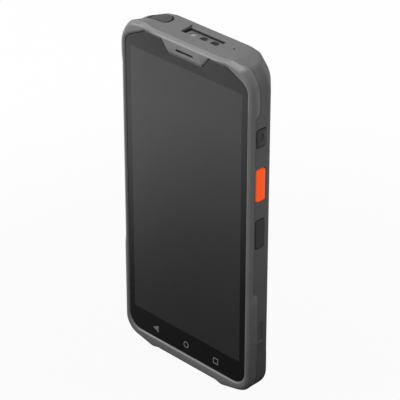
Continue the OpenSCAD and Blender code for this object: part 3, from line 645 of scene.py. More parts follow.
class NodeTree:
    """Thin layer over a node tree that places and joins nodes."""

    def __init__(self, tree: bpy.types.NodeTree) -> None:
        """Keeps the tree."""
        self.tree = tree

    def feed(self, value: object, socket: Socket) -> None:
        """Sets a socket to a value, or joins another socket to it."""
        if isinstance(value, Socket):
            self.tree.links.new(value, socket)
        else:
            socket.default_value = value

    def fill(self, node: Node, inputs: dict[str, object]) -> None:
        """Feeds inputs of a node by name."""
        for key, value in inputs.items():
            self.feed(value, node.inputs[key])

    def add(self, kind: str, inputs: Optional[dict[str, object]] = None, **properties: object) -> Node:
        """Adds a node, sets its plain properties and feeds its inputs."""
        node = self.tree.nodes.new(kind)
        for key, value in properties.items():
            setattr(node, key, value)
        self.fill(node, inputs or {})
        return node

    def coords(self) -> Socket:
        """Returns the place on the piece, in its own axes."""
        return self.add("ShaderNodeTexCoord").outputs["Object"]

    def noise(
            self, scale: object, detail: float, place: Optional[Socket] = None,
            distortion: float = 0.0) -> Socket:
        """Adds noise over the piece, or over another place, and returns its value."""
        return self.add("ShaderNodeTexNoise", {
            "Vector": self.coords() if place is None else place,
            "Scale": scale, "Detail": detail, "Distortion": distortion,
        }).outputs["Fac"]

    def math(self, operation: str, a: object, b: object = 0.0, clamp: bool = False) -> Socket:
        """Adds a Math node and returns its output."""
        node = self.add("ShaderNodeMath", operation=operation, use_clamp=clamp)
        for socket, value in zip(node.inputs, (a, b)):
            self.feed(value, socket)
        return node.outputs[0]

    def times(self, a: object, b: object, clamp: bool = False) -> Socket:
        """Multiplies two values."""
        return self.math("MULTIPLY", a, b, clamp)

    def scaled(self, value: object, factor: float, offset: float) -> Socket:
        """Multiplies a value by a factor and adds an offset."""
        return self.math("ADD", self.times(value, factor), offset)

    def ramp(self, source: Socket, low: float, high: float) -> Socket:
        """Maps low..high of a value to 0..1, softly."""
        return self.add("ShaderNodeMapRange", {
            "Value": source, "From Min": low, "From Max": high,
        }, interpolation_type="SMOOTHSTEP").outputs["Result"]

    def mix(self, factor: object, a: object, b: object) -> Socket:
        """Mixes two colours; the node's colour sockets are only told apart by their number."""
        node = self.add("ShaderNodeMix", data_type="RGBA")
        for index, value in ((0, factor), (6, a), (7, b)):
            self.feed(value, node.inputs[index])
        return node.outputs[2]

    def blend(self, factor: object, first: Node, second: Node) -> Node:
        """Adds a node that blends two shaders."""
        node = self.add("ShaderNodeMixShader")
        for socket, value in zip(node.inputs, (factor, first.outputs[0], second.outputs[0])):
            self.feed(value, socket)
        return node

    def shared(self, tree: bpy.types.NodeTree, **inputs: float) -> bpy.types.NodeOutputs:
        """Adds a shared group and returns its outputs."""
        return self.add("ShaderNodeGroup", inputs, node_tree=tree).outputs

    def bump(self, height: object, strength: float, distance: float, invert: bool = False) -> Socket:
        """Turns a height into a normal; the distance is in metres."""
        return self.add("ShaderNodeBump", {
            "Strength": strength, "Distance": distance, "Height": height,
        }, invert=invert).outputs["Normal"]


def group(
        name: str, inputs: dict[str, float],
        outputs: Sequence[str]) -> tuple[NodeTree, bpy.types.NodeOutputs, Node]:
    """Makes an empty shader node group of plain values.

    Args:
        name: the group's name.
        inputs: default of each input, by name.
        outputs: name of each output.

    Returns:
        The group's layer, the values that go into it, and its last node, which takes what comes out.
    """
    tree = bpy.data.node_groups.new(name, "ShaderNodeTree")
    for label, default in inputs.items():
        tree.interface.new_socket(label, in_out="INPUT", socket_type="NodeSocketFloat").default_value = default
    for label in outputs:
        tree.interface.new_socket(label, in_out="OUTPUT", socket_type="NodeSocketFloat")
    t = NodeTree(tree)
    return t, t.add("NodeGroupInput").outputs, t.add("NodeGroupOutput")


@cache
def grain_group() -> bpy.types.NodeTree:
    """Moulded grain: two sizes of noise give height, roughness and colour masks."""
    t, given, out = group(
        "moulded_grain", {"Fine": 5200.0, "Height": 0.5}, ("Height", "Fine Mask", "Broad Mask"))
    cells = t.add("ShaderNodeTexVoronoi", {"Vector": t.coords(), "Scale": given["Fine"]}, feature="SMOOTH_F1")
    speck = t.noise(t.times(given["Fine"], 0.45), 3.0)
    both = t.math("ADD", t.times(cells.outputs["Distance"], 0.6), t.times(speck, 0.5))
    t.fill(out, {
        "Height": t.times(both, given["Height"]),
        "Fine Mask": speck,
        "Broad Mask": t.ramp(t.noise(60.0, 5.0), 0.3, 0.7),
    })
    return t.tree


@cache
def wear_group() -> bpy.types.NodeTree:
    """Edge wear: raised edges broken up by noise."""
    t, given, out = group("edge_wear", {"Amount": 0.5}, ("Mask",))
    edge = t.ramp(t.add("ShaderNodeNewGeometry").outputs["Pointiness"], 0.515, 0.56)
    broken = t.times(edge, t.ramp(t.noise(400.0, 4.0), 0.35, 0.62))
    t.fill(out, {"Mask": t.times(broken, given["Amount"], clamp=True)})
    return t.tree


@cache
def smudge_group() -> bpy.types.NodeTree:
    """Finger marks: stretched soft noise with a little fine haze."""
    t, given, out = group("smudges", {"Scale": 35.0}, ("Mask",))
    soft = t.ramp(t.noise(given["Scale"], 2.0, distortion=1.2), 0.42, 0.7)
    fine = t.ramp(t.noise(t.times(given["Scale"], 30.0), 3.0), 0.2, 0.8)
    t.fill(out, {"Mask": t.times(soft, fine)})
    return t.tree


def rgba(colour: Colour, factor: float = 1.0) -> tuple[float, ...]:
    """Returns a colour with full alpha, made lighter or darker by a factor."""
    return (*(min(c * factor, 1.0) for c in colour), 1.0)


def lifted(colour: Colour, factor: float, offset: float) -> Colour:
    """Returns a colour multiplied by a factor and moved by an offset."""
    return tuple(c * factor + offset for c in colour)


@dataclass(frozen=True)
class Finish:
    """Finish that makes one material; each kind of finish dresses the shader in its own way.

    Attributes:
        name: the material's name.
        colour: its linear colour.
    """

    name: str
    colour: Colour

    def build(self) -> bpy.types.Material:
        """Returns the finish as a material."""
        mat = bpy.data.materials.new(self.name)
        mat.use_nodes = True
        self.dress(NodeTree(mat.node_tree), mat.node_tree.nodes["Principled BSDF"])
        return mat

    def dress(self, t: NodeTree, shader: Node) -> None:
        """Feeds the shader, which stands in the material's tree."""
        raise NotImplementedError


@dataclass(frozen=True)
class Moulded(Finish):
    """Moulded plastic or rubber with a fine grain.

    Attributes:
        rough: mean roughness.
        specular: specular level.
        fine: scale of the grain.
        height: height of the grain.
        vary: how much the colour varies.
        wear: how much the edges are rubbed lighter.
        sheen: sheen weight for soft rubber.
        painted_glow: strength of painted light: the colour is also given out as emission, so the part glows though
            it is no lamp.
    """

    rough: float = 0.5
    specular: float = 0.5
    fine: float = 5200.0
    height: float = 0.5
    vary: float = 0.12
    wear: float = 0.35
    sheen: float = 0.0
    # painted light: above zero, the colour glows by itself as if lit
    painted_glow: float = 0.0

    def dress(self, t: NodeTree, shader: Node) -> None:
        """Feeds the shader with grained, slightly worn colour, and with a painted glow where a strength is given.
        """
        grain = t.shared(grain_group(), Fine=self.fine, Height=self.height)
        wear = t.shared(wear_group(), Amount=self.wear)["Mask"]
        base = t.mix(grain["Broad Mask"], rgba(self.colour, 1 - self.vary), rgba(self.colour, 1 + self.vary))
        speck = t.mix(t.times(grain["Fine Mask"], 0.25), base, rgba(self.colour, 1.35))
        worn = t.mix(wear, speck, rgba(lifted(self.colour, 0.6, 0.14)))
        rough = t.scaled(grain["Broad Mask"], 0.08, self.rough - 0.04)
        t.fill(shader, {
            "Base Color": worn,
            "Roughness": t.math("SUBTRACT", rough, t.times(wear, 0.12), clamp=True),
            "Normal": t.bump(grain["Height"], 0.35, 0.00006),
            "Specular IOR Level": self.specular,
        })
        if self.sheen:
            t.fill(shader, {"Sheen Weight": self.sheen, "Sheen Roughness": 0.5})
        # painted light: the worn colour is also emitted, so the part glows though it is no lamp
        if self.painted_glow:
            t.fill(shader, {"Emission Color": worn, "Emission Strength": self.painted_glow})


@dataclass(frozen=True)
class Metal(Finish):
    """Bare or plated metal with fine brushing.

    Attributes:
        rough: mean roughness.
        stretch: stretch of the brushing along each direction.
    """

    rough: float = 0.35
    stretch: Triple = (1.0, 12.0, 12.0)

    def dress(self, t: NodeTree, shader: Node) -> None:
        """Feeds the shader with brushed metal."""
        turn = t.add("ShaderNodeMapping", {"Vector": t.coords(), "Scale": self.stretch})
        lines = t.noise(700.0, 4.0, turn.outputs["Vector"])
        wear = t.shared(wear_group(), Amount=0.4)["Mask"]
        base = t.mix(lines, rgba(self.colour, 0.8), rgba(self.colour, 1.15))
        t.fill(shader, {
            "Base Color": t.mix(wear, base, rgba(self.colour, 1.4)),
            "Roughness": t.scaled(lines, 0.2, self.rough - 0.1),
            "Metallic": 1.0,
            "Normal": t.bump(lines, 0.2, 0.00004),
        })


@dataclass(frozen=True)
class ScreenGlass(Finish):
    """Cover glass over a dark panel: printed border, slightly lighter lit area, smudges and a soft haze.

    Attributes:
        panel: colour of the panel that is switched off.
        half_w: half the width of the lit area in millimetres.
        low: its lower edge.
        high: its upper edge.
        soft: half the width of its blurred edge, in metres.
    """

    panel: Colour = (0.030, 0.030, 0.031)
    half_w: float = 31.25
    low: float = 17.1
    high: float = 142.1
    soft: float = 0.00025

    def dress(self, t: NodeTree, shader: Node) -> None:
        """Feeds the shader with the border, the lit area and the smudges."""
        parts = t.add("ShaderNodeSeparateXYZ", {"Vector": t.coords()}).outputs
        half, low, high = self.half_w * MM, self.low * MM, self.high * MM
        beside = t.ramp(t.math("ABSOLUTE", parts["X"]), half + self.soft, half - self.soft)
        over = t.ramp(parts["Z"], low - self.soft, low + self.soft)
        under = t.ramp(parts["Z"], high + self.soft, high - self.soft)
        lit = t.mix(t.noise(22.0, 2.0), rgba(self.panel, 0.85), rgba(self.panel, 1.15))
        colour = t.mix(t.times(t.times(beside, over), under), rgba(self.colour), lit)
        smudge = t.shared(smudge_group())["Mask"]
        t.fill(shader, {
            "Base Color": t.mix(t.times(smudge, 0.006), colour, rgba((0.2, 0.2, 0.2))),
            "Roughness": t.scaled(smudge, 0.05, 0.10),
            "Specular IOR Level": 0.5,
            "Normal": t.bump(smudge, 0.04, 0.00003),
        })


@dataclass(frozen=True)
class Glossy(Finish):
    """Smooth plastic, lens or film with faint haze.

    Attributes:
        rough: mean roughness.
        specular: specular level.
        coat: clear coat weight.
    """

    rough: float = 0.15
    specular: float = 0.5
    coat: float = 0.0

    def dress(self, t: NodeTree, shader: Node) -> None:
        """Feeds the shader with a smooth, slightly smudged colour."""
        smudge = t.shared(smudge_group(), Scale=160.0)["Mask"]
        t.fill(shader, {
            "Base Color": t.mix(smudge, rgba(self.colour, 0.9), rgba(lifted(self.colour, 1.0, 0.01), 1.1)),
            "Roughness": t.scaled(smudge, 0.12, self.rough),
            "Specular IOR Level": self.specular,
            "Coat Weight": self.coat,
            "Normal": t.bump(smudge, 0.05, 0.00003),
        })


@dataclass(frozen=True)
class Woven(Finish):
    """Fine woven or etched mesh that faces the front or the back.

    Attributes:
        pitch: holes per metre.
    """

    pitch: float = 3300.0

    def dress(self, t: NodeTree, shader: Node) -> None:
        """Feeds the shader with wires round dark holes."""
        parts = t.add("ShaderNodeSeparateXYZ", {"Vector": t.coords()}).outputs
        across, along = (
            t.math("ABSOLUTE", t.math("SINE", t.times(parts[axis], self.pitch * math.pi))) for axis in ("X", "Z"))
        holes = t.times(across, along)
        t.fill(shader, {
            "Base Color": t.mix(t.ramp(holes, 0.25, 0.6), rgba(self.colour), rgba(self.colour, 0.15)),
            "Roughness": 0.5,
            "Normal": t.bump(holes, 1.0, 0.0001, invert=True),
        })


@dataclass(frozen=True)
class Board(Finish):
    """Circuit board: solder mask over copper tracks with small pads."""

    def dress(self, t: NodeTree, shader: Node) -> None:
        """Feeds the shader with tracks and pads."""
        cells = t.add(
            "ShaderNodeTexVoronoi", {"Vector": t.coords(), "Scale": 420.0}, distance="MANHATTAN", feature="F1")
        distance = cells.outputs["Distance"]
        tracks, pads = t.ramp(distance, 0.36, 0.42), t.ramp(distance, 0.12, 0.08)
        base = t.mix(tracks, rgba(self.colour), rgba(self.colour, 1.8))
        t.fill(shader, {
            "Base Color": t.mix(pads, base, rgba((0.7, 0.68, 0.6))),
            "Roughness": 0.4,
            "Normal": t.bump(tracks, 0.3, 0.00004),
        })


FINISHES = (
    Moulded("frame_grey_satin", (0.158, 0.158, 0.160), rough=0.42, wear=0.3, vary=0.05),
    Moulded("housing_dark_grain", (0.104, 0.105, 0.107), rough=0.5, height=0.8, wear=0.2, vary=0.08),
    Moulded("key_dark_satin", (0.028, 0.028, 0.030), rough=0.4, wear=0.3),
    # the trigger's finish paints light: its emission keeps the orange bright where little lamp light falls on it
    Moulded(
        "trigger_orange_satin", (0.95, 0.085, 0.006), rough=0.42, specular=0.25, wear=0.15, vary=0.04, painted_glow=0.55),
    Moulded("key_soft_black", (0.022, 0.022, 0.024), rough=0.62, sheen=0.1, wear=0.1),
    Moulded("cover_rubber_dark", (0.042, 0.042, 0.043), rough=0.6, specular=0.35, wear=0.1),
    Moulded("cover_plastic_grain", (0.100, 0.101, 0.103), rough=0.5, height=0.8, wear=0.2),
    Moulded("module_black_moulded", (0.02, 0.02, 0.021), rough=0.5),
    Moulded("battery_wrap_matt", (0.035, 0.035, 0.038), rough=0.55, fine=900.0, wear=0.1),
    # black seal rubber, also used for the scan window's lips that paint shade along its left and rear edges
    Moulded("seal_rubber_and_painted_shade_black", (0.018, 0.018, 0.018), rough=0.7, wear=0.0),
    Moulded("screw_black_oxide", (0.03, 0.03, 0.031), rough=0.35, specular=0.7, wear=0.6),
    Metal("sheet_steel_bright", (0.55, 0.55, 0.56)),
    Metal("pin_steel_ground", (0.5, 0.5, 0.52), rough=0.3, stretch=(12.0, 1.0, 12.0)),
    Metal("cast_metal_frame", (0.42, 0.42, 0.43), rough=0.5, stretch=(1.0, 1.0, 1.0)),
    Metal("contact_gold_plated", (0.78, 0.52, 0.18), rough=0.25, stretch=(1.0, 1.0, 1.0)),
    Metal("weight_metal_sintered", (0.3, 0.3, 0.29), rough=0.55, stretch=(1.0, 1.0, 1.0)),
    Metal("copper_film_coil", (0.45, 0.2, 0.1), rough=0.4),
    Glossy("mark_print_light", (0.22, 0.22, 0.22), rough=0.4),
    Glossy("flex_film_amber", (0.32, 0.14, 0.03), rough=0.3),
    Moulded("window_plate_grey", (0.095, 0.096, 0.098), rough=0.4, height=0.2, wear=0.1),
    Glossy("lens_black_gloss", (0.004, 0.004, 0.005), rough=0.08, coat=0.5),
    Glossy("lens_black_matt", (0.006, 0.006, 0.007), rough=0.45, specular=0.2),
    Glossy("lens_clear_pale", (0.3, 0.29, 0.27), rough=0.3),
    Glossy("panel_dark", (0.02, 0.02, 0.022), rough=0.2),
    Woven("mesh_black_woven", (0.02, 0.02, 0.02)),
    Board("board_green_mask", (0.012, 0.07, 0.03)),
    ScreenGlass("cover_glass_dark", (0.004, 0.004, 0.0045)),
)

# finishes of the CAD nodes that stay as they are
INNER_FINISHES = {
    "mark_print_light": ("touch_marks",),
    "panel_dark": ("display_module",),
    "cast_metal_frame": ("mid_frame",),
    "seal_rubber_and_painted_shade_black": ("housing_seal",),
    "module_black_moulded": ("rocker_post", "scan_engine", "loudspeaker", "rear_camera", "audio_jack"),
    "sheet_steel_bright": (
        "side_switches", "scan_bracket", "earpiece_receiver", "shield_cans", "card_holder", "port_socket",
        "motor_can"),
    "flex_film_amber": ("side_key_flexes", "board_flex"),
    "mesh_black_woven": ("earpiece_mesh", "speaker_mesh"),
    "lens_clear_pale": ("flash_lens",),
    "board_green_mask": ("main_board", "lower_board"),
    "pin_steel_ground": ("cover_pins",),
    "battery_wrap_matt": ("battery",),
    "contact_gold_plated": ("battery_contacts",),
    "copper_film_coil": ("antenna_coil",),
    "weight_metal_sintered": ("motor_weight",),
}


class Palette:
    """All finishes by name, built once."""

    def __init__(self) -> None:
        """Builds the materials."""
        self.made = {finish.name: finish.build() for finish in FINISHES}

    def put(self, piece: Piece, name: str, angle: Optional[float] = None) -> Piece:
        """Gives a piece one finish, shades it smooth up to an angle if one is given, and returns it."""
        if angle is not None:
            shade(piece, angle)
        piece.data.materials.clear()
        piece.data.materials.append(self.made[name])
        return piece

    def dress_inside(self, nodes: dict[str, Piece]) -> None:
        """Gives the CAD nodes that stay as they are their finishes."""
        for finish, names in INNER_FINISHES.items():
            for name in names:
                slots = nodes[name].data.materials
                if not slots:
                    slots.append(None)
                for i in range(len(slots)):
                    slots[i] = self.made[finish]
                LOG.info("%s: %s", name, finish)


def settle(piece: Piece, node: str, body: str = "case") -> Piece:
    """Hides the CAD node that a finished piece stands for and sets the piece on the body that it rides on.

    Args:
        piece: the object, with its finishes.
        node: CAD node that it stands for.
        body: body that it rides on.

    Returns:
        The piece.
    """
    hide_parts(node)
    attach(piece, body)
    LOG.info("%s: %d faces, on %s", piece.name, len(piece.data.polygons), body)
    return piece


# ---------------------------------------------------------------------------
# geometry nodes
# ---------------------------------------------------------------------------


def scatter(
        name: str, part: Piece, finish: bpy.types.Material, places: Sequence[Vector],
        spin: float = 0.0, seed: int = 3) -> Piece:
    """Sets copies of one part on points with Geometry Nodes, and makes them one plain object.

    Args:
        name: the object's name.
        part: the object that is repeated, made round the origin; it is used up.
        finish: its material.
        places: points in the frame.
        spin: largest turn of each copy about the depth, in radians.
        seed: seed of the turns.

    Returns:
        The object, with its modifier removed.
    """
    tree = bpy.data.node_groups.new(name + "_places", "GeometryNodeTree")
    keys = {
        label: tree.interface.new_socket(label, in_out="INPUT", socket_type=kind).identifier
        for label, kind in (
            ("Geometry", "NodeSocketGeometry"), ("Seed", "NodeSocketInt"), ("Spin", "NodeSocketFloat"))}
    tree.interface.new_socket("Geometry", in_out="OUTPUT", socket_type="NodeSocketGeometry")
    t = NodeTree(tree)
    given = t.add("NodeGroupInput").outputs
    points = t.add("GeometryNodeMeshToPoints", {"Mesh": given["Geometry"]})
    info = t.add("GeometryNodeObjectInfo", {"Object": part})
    turn = t.add("FunctionNodeRandomValue", {"Seed": given["Seed"]}, data_type="FLOAT")
    t.feed(given["Spin"], turn.inputs[3])
    angle = t.add("ShaderNodeCombineXYZ", {"Y": turn.outputs[1]})
    copies = t.add("GeometryNodeInstanceOnPoints", {
        "Points": points.outputs["Points"], "Instance": info.outputs["Geometry"],
        "Rotation": angle.outputs["Vector"]})
    real = t.add("GeometryNodeRealizeInstances", {"Geometry": copies.outputs["Instances"]})
    coat = t.add("GeometryNodeSetMaterial", {"Geometry": real.outputs["Geometry"], "Material": finish})
    t.add("NodeGroupOutput", {"Geometry": coat.outputs["Geometry"]})
    mesh = bpy.data.meshes.new(name)
    mesh.from_pydata([tuple(p) for p in places], [], [])
    piece = link(name, mesh)
    mod = piece.modifiers.new("copies", "NODES")
    mod.node_group = tree
    mod[keys["Seed"]] = seed
    mod[keys["Spin"]] = spin
    apply_modifiers(piece)
    discard(part)
    bpy.data.node_groups.remove(tree)
    return piece


# ---------------------------------------------------------------------------
# sub-assemblies
# ---------------------------------------------------------------------------


@dataclass(frozen=True)
class FrontFrame:
    """Grey frame round the glass, with its tab, earpiece slot and raised corners.

    Attributes:
        half_w: half the width of the glass opening.
        low: its lower edge.
        high: its upper edge.
        tab_low: lower edge of the tab.
        tab_half_low: half the tab's width at its lower edge.
        tab_half_high: half its width at its upper edge.
        slot_half: half the length of the earpiece slot.
        slot_z: its height.
        slot_h: its width.
        rear: depth of the frame's inner rear edges.
        profile: depth and share of the full inset along the outer edge, from the front face to the side.
    """

    half_w: float = 34.35
    low: float = 5.95
    high: float = 151.3
    tab_low: float = 146.5
    tab_half_low: float = 9.4
    tab_half_high: float = 13.4
    slot_half: float = 4.8
    slot_z: float = 148.9
    slot_h: float = 1.1
    rear: float = FRAME_D - 0.08
    profile: tuple[Point2, ...] = (
        (0.0, 1.07), (0.016, 1.0), (0.065, 0.93), (0.085, 0.909), (0.43, 0.539), (0.45, 0.517), (0.502, 0.468),
        (0.557, 0.427), (0.617, 0.395), (0.68, 0.371), (0.71, 0.361), (1.65, 0.076), (1.7, 0.061), (1.9, 0.015),
        (2.05, 0.0))

    def opening(self, grow: float) -> list[Point2]:
        """Returns the glass opening grown outwards, anticlockwise, with the tab left standing."""
        w, low, high = self.half_w + grow, self.low - grow, self.high + grow
        right = [
            (w, high - 6.6), (w - 2.9, high - 4.1), (22.8 + grow * 0.4, high),
            (self.tab_half_high - grow * 0.47, high), (self.tab_half_low - grow * 0.47, self.tab_low + grow)]
        shape = Outline(
            [(-w, low), (w, low), *right, *((-x, z) for x, z in reversed(right))],
            [6.5, 6.5, 4.0, 3.0, 1.0, 0.5, 0.7, 0.7, 0.5, 1.0, 3.0, 4.0],
            steps=6, counts=[8, 30, 2, 2, 4, 2, 6, 2, 4, 2, 2, 30])
        return shape.points([0.0] * 12)

    def slot(self, grow: float) -> list[Point2]:
        """Returns the earpiece slot."""
        return rounded_loop(0.0, self.slot_z, self.slot_half + grow, self.slot_h / 2 + grow, 0.5 + grow, 6)

    def build(self, palette: Palette) -> Piece:
        """Builds and dresses the frame."""
        full = edges(1.5, 1.7, 1.8, 1.7, 1.5, 1.2)
        rows = [outer_points([v * share for v in full], d) for d, share in self.profile]
        rows += [
            outer_points(even(0.0), lambda p: frame_depth(p) - 0.14),
            outer_points(even(0.05), lambda p: frame_depth(p) - 0.04),
            outer_points(even(0.16), frame_depth),
            outer_points(even(1.0), frame_depth),
            outer_points(even(1.02), self.rear),
        ]
        lip = ((0.62, 0.0), (0.54, 0.03), (0.05, 0.46), (0.0, 0.53), (0.0, 1.75), (0.0, self.rear))
        ear = ((0.14, 0.0), (0.0, 0.14), (0.0, 1.2), (0.9, 1.21), (0.9, self.rear))
        bm = bmesh.new()
        walls = [
            wall(bm, rows),
            wall(bm, [level(self.opening(grow), d) for grow, d in lip]),
            wall(bm, [level(self.slot(grow), d) for grow, d in ear]),
        ]
        for end in (0, -1):
            fill_between(bm, [rings[end] for rings in walls])
        piece = palette.put(link("front_frame", mesh_from("front_frame", bm)), "frame_grey_satin", 30.0)
        return settle(piece, "front_bezel")

    def glass(self, palette: Palette) -> Piece:
        """Builds the cover glass with its softened edge."""
        edge = ((-0.42, 0.5), (-0.3, 0.52), (-0.2, 0.6), (-0.15, 0.72), (-0.15, 1.5), (-0.25, 1.6))
        bm = bmesh.new()
        rings = wall(bm, [level(self.opening(grow), d) for grow, d in edge])
        for end in (0, -1):
            fill_between(bm, [rings[end]])
        piece = link("screen_glass_plate", mesh_from("screen_glass_plate", bm))
        return settle(palette.put(piece, "cover_glass_dark", 40.0), "cover_glass")


@dataclass(frozen=True)
class SideKey:
    """Key in the side of the body: domed cap, flange and stems.

    Attributes:
        name: the piece's name.
        node: CAD node that it stands for, and the body that it rides on.
        side: Axis.RIGHT or Axis.LEFT.
        low: its lower end.
        length: its length.
        out: how far it stands out of the side.
        finish: its finish.
        slot: material slot of the record; not used.
        rounding: width of its rounded edge.
        crown: how much its middle stands above its edge.
        stems: heights of its stems.
        stem_x: where its stems end inside.
        sunk: how much deeper its flange lies.
        dish: whether it has a hollow for the finger.
        half_w: half its width.
    """

    name: str
    node: str
    side: Axis
    low: float
    length: float
    out: float
    finish: str
    slot: str
    rounding: float
    crown: float
    stems: tuple[float, ...]
    stem_x: float = 32.3
    sunk: float = 0.0
    dish: bool = False
    half_w: float = 2.4

    @property
    def middle(self) -> float:
        """Height of its middle."""
        return self.low + self.length / 2

    def cap(self) -> Piece:
        """Builds the domed cap."""
        outer = BODY_HALF_W + self.out
        rows = [(34.2, 0.0), (outer - self.rounding - self.crown, 0.0)]
        for i in range(1, 7):
            t = math.radians(90.0 * i / 6)
            rows.append((
                outer - self.crown - self.rounding * (1 - math.sin(t)), -self.rounding * (1 - math.cos(t))))
        rest = self.half_w - self.rounding
        for i in range(1, 6):
            s = i / 6
            rows.append((outer - self.crown * (1 - s) ** 2, -self.rounding - rest * s * 0.97))
        loops = []
        for x, grow in rows:
            drawn = rounded_loop(
                KEY_D, self.middle, self.half_w + grow, self.length / 2 + grow, max(0.9 + grow * 0.3, 0.05), 6)
            loops.append([oriented(self.side, u, v, x) for u, v in drawn])
        return solid(self.name, loops)

    def hollow(self) -> Piece:
        """Builds the cutter of the finger's hollow, drawn out in height."""
        sign = 1.0 if self.side is Axis.RIGHT else -1.0
        cutter = turned(
            "hollow", oriented(self.side, KEY_D, self.middle, BODY_HALF_W + self.out), Vector((sign, 0, 0)),
            [(0.0, -0.55), (0.6, -0.48), (1.05, -0.3), (1.4, 0.0), (1.8, 0.4), (0.0, 0.4)], 32)
        for vertex in cutter.data.vertices:
            vertex.co.z = self.middle * MM + (vertex.co.z - self.middle * MM) * 1.5
        return cutter

    def build(self, palette: Palette) -> Piece:
        """Builds and dresses the key."""
        cap = self.cap()
        if self.dish:
            combine(cap, self.hollow(), "DIFFERENCE")
        base = [plug(
            "flange", self.side, (KEY_D, self.middle), (self.half_w, self.length / 2 + 0.9), 0.4,
            [(x - self.sunk, grow) for x, grow in ((33.9, -0.1), (34.0, 0.0), (34.6, 0.0), (34.7, -0.1))], 4)]
        for z in self.stems:
            base.append(rod("stem", *(oriented(self.side, KEY_D, z, x) for x in (self.stem_x, 34.3)), 0.8))
        parts = [palette.put(cap, self.finish, 30.0)]
        parts += [palette.put(part, "module_black_moulded") for part in base]
        return settle(join(self.name, parts), self.node, self.node)


KEYS = (
    SideKey(
        "power_key", "power_button", Axis.RIGHT, 119.4, 7.6, 0.5, "key_dark_satin", "key_dark",
        rounding=0.6, crown=0.1, stems=(123.2,), dish=True),
    SideKey(
        "trigger_key_right", "scan_trigger_right", Axis.RIGHT, 94.8, 14.4, 0.9, "trigger_orange_satin",
        "trigger_orange", rounding=0.8, crown=0.25, stems=(102.0,)),
    SideKey(
        "function_key_soft", "function_key", Axis.RIGHT, 72.9, 13.1, 0.2, "key_soft_black", "key_soft",
        rounding=0.35, crown=0.05, stems=(79.45,)),
    SideKey(
        "trigger_key_left", "scan_trigger_left", Axis.LEFT, 94.8, 14.4, 0.9, "trigger_orange_satin",
        "trigger_orange", rounding=0.8, crown=0.25, stems=(102.0,)),
    SideKey(
        "volume_key", "volume_rocker", Axis.LEFT, 113.4, 16.0, 0.5, "key_dark_satin", "key_dark",
        rounding=0.45, crown=0.05, stems=(116.4, 126.4), stem_x=33.3, sunk=0.3),
)


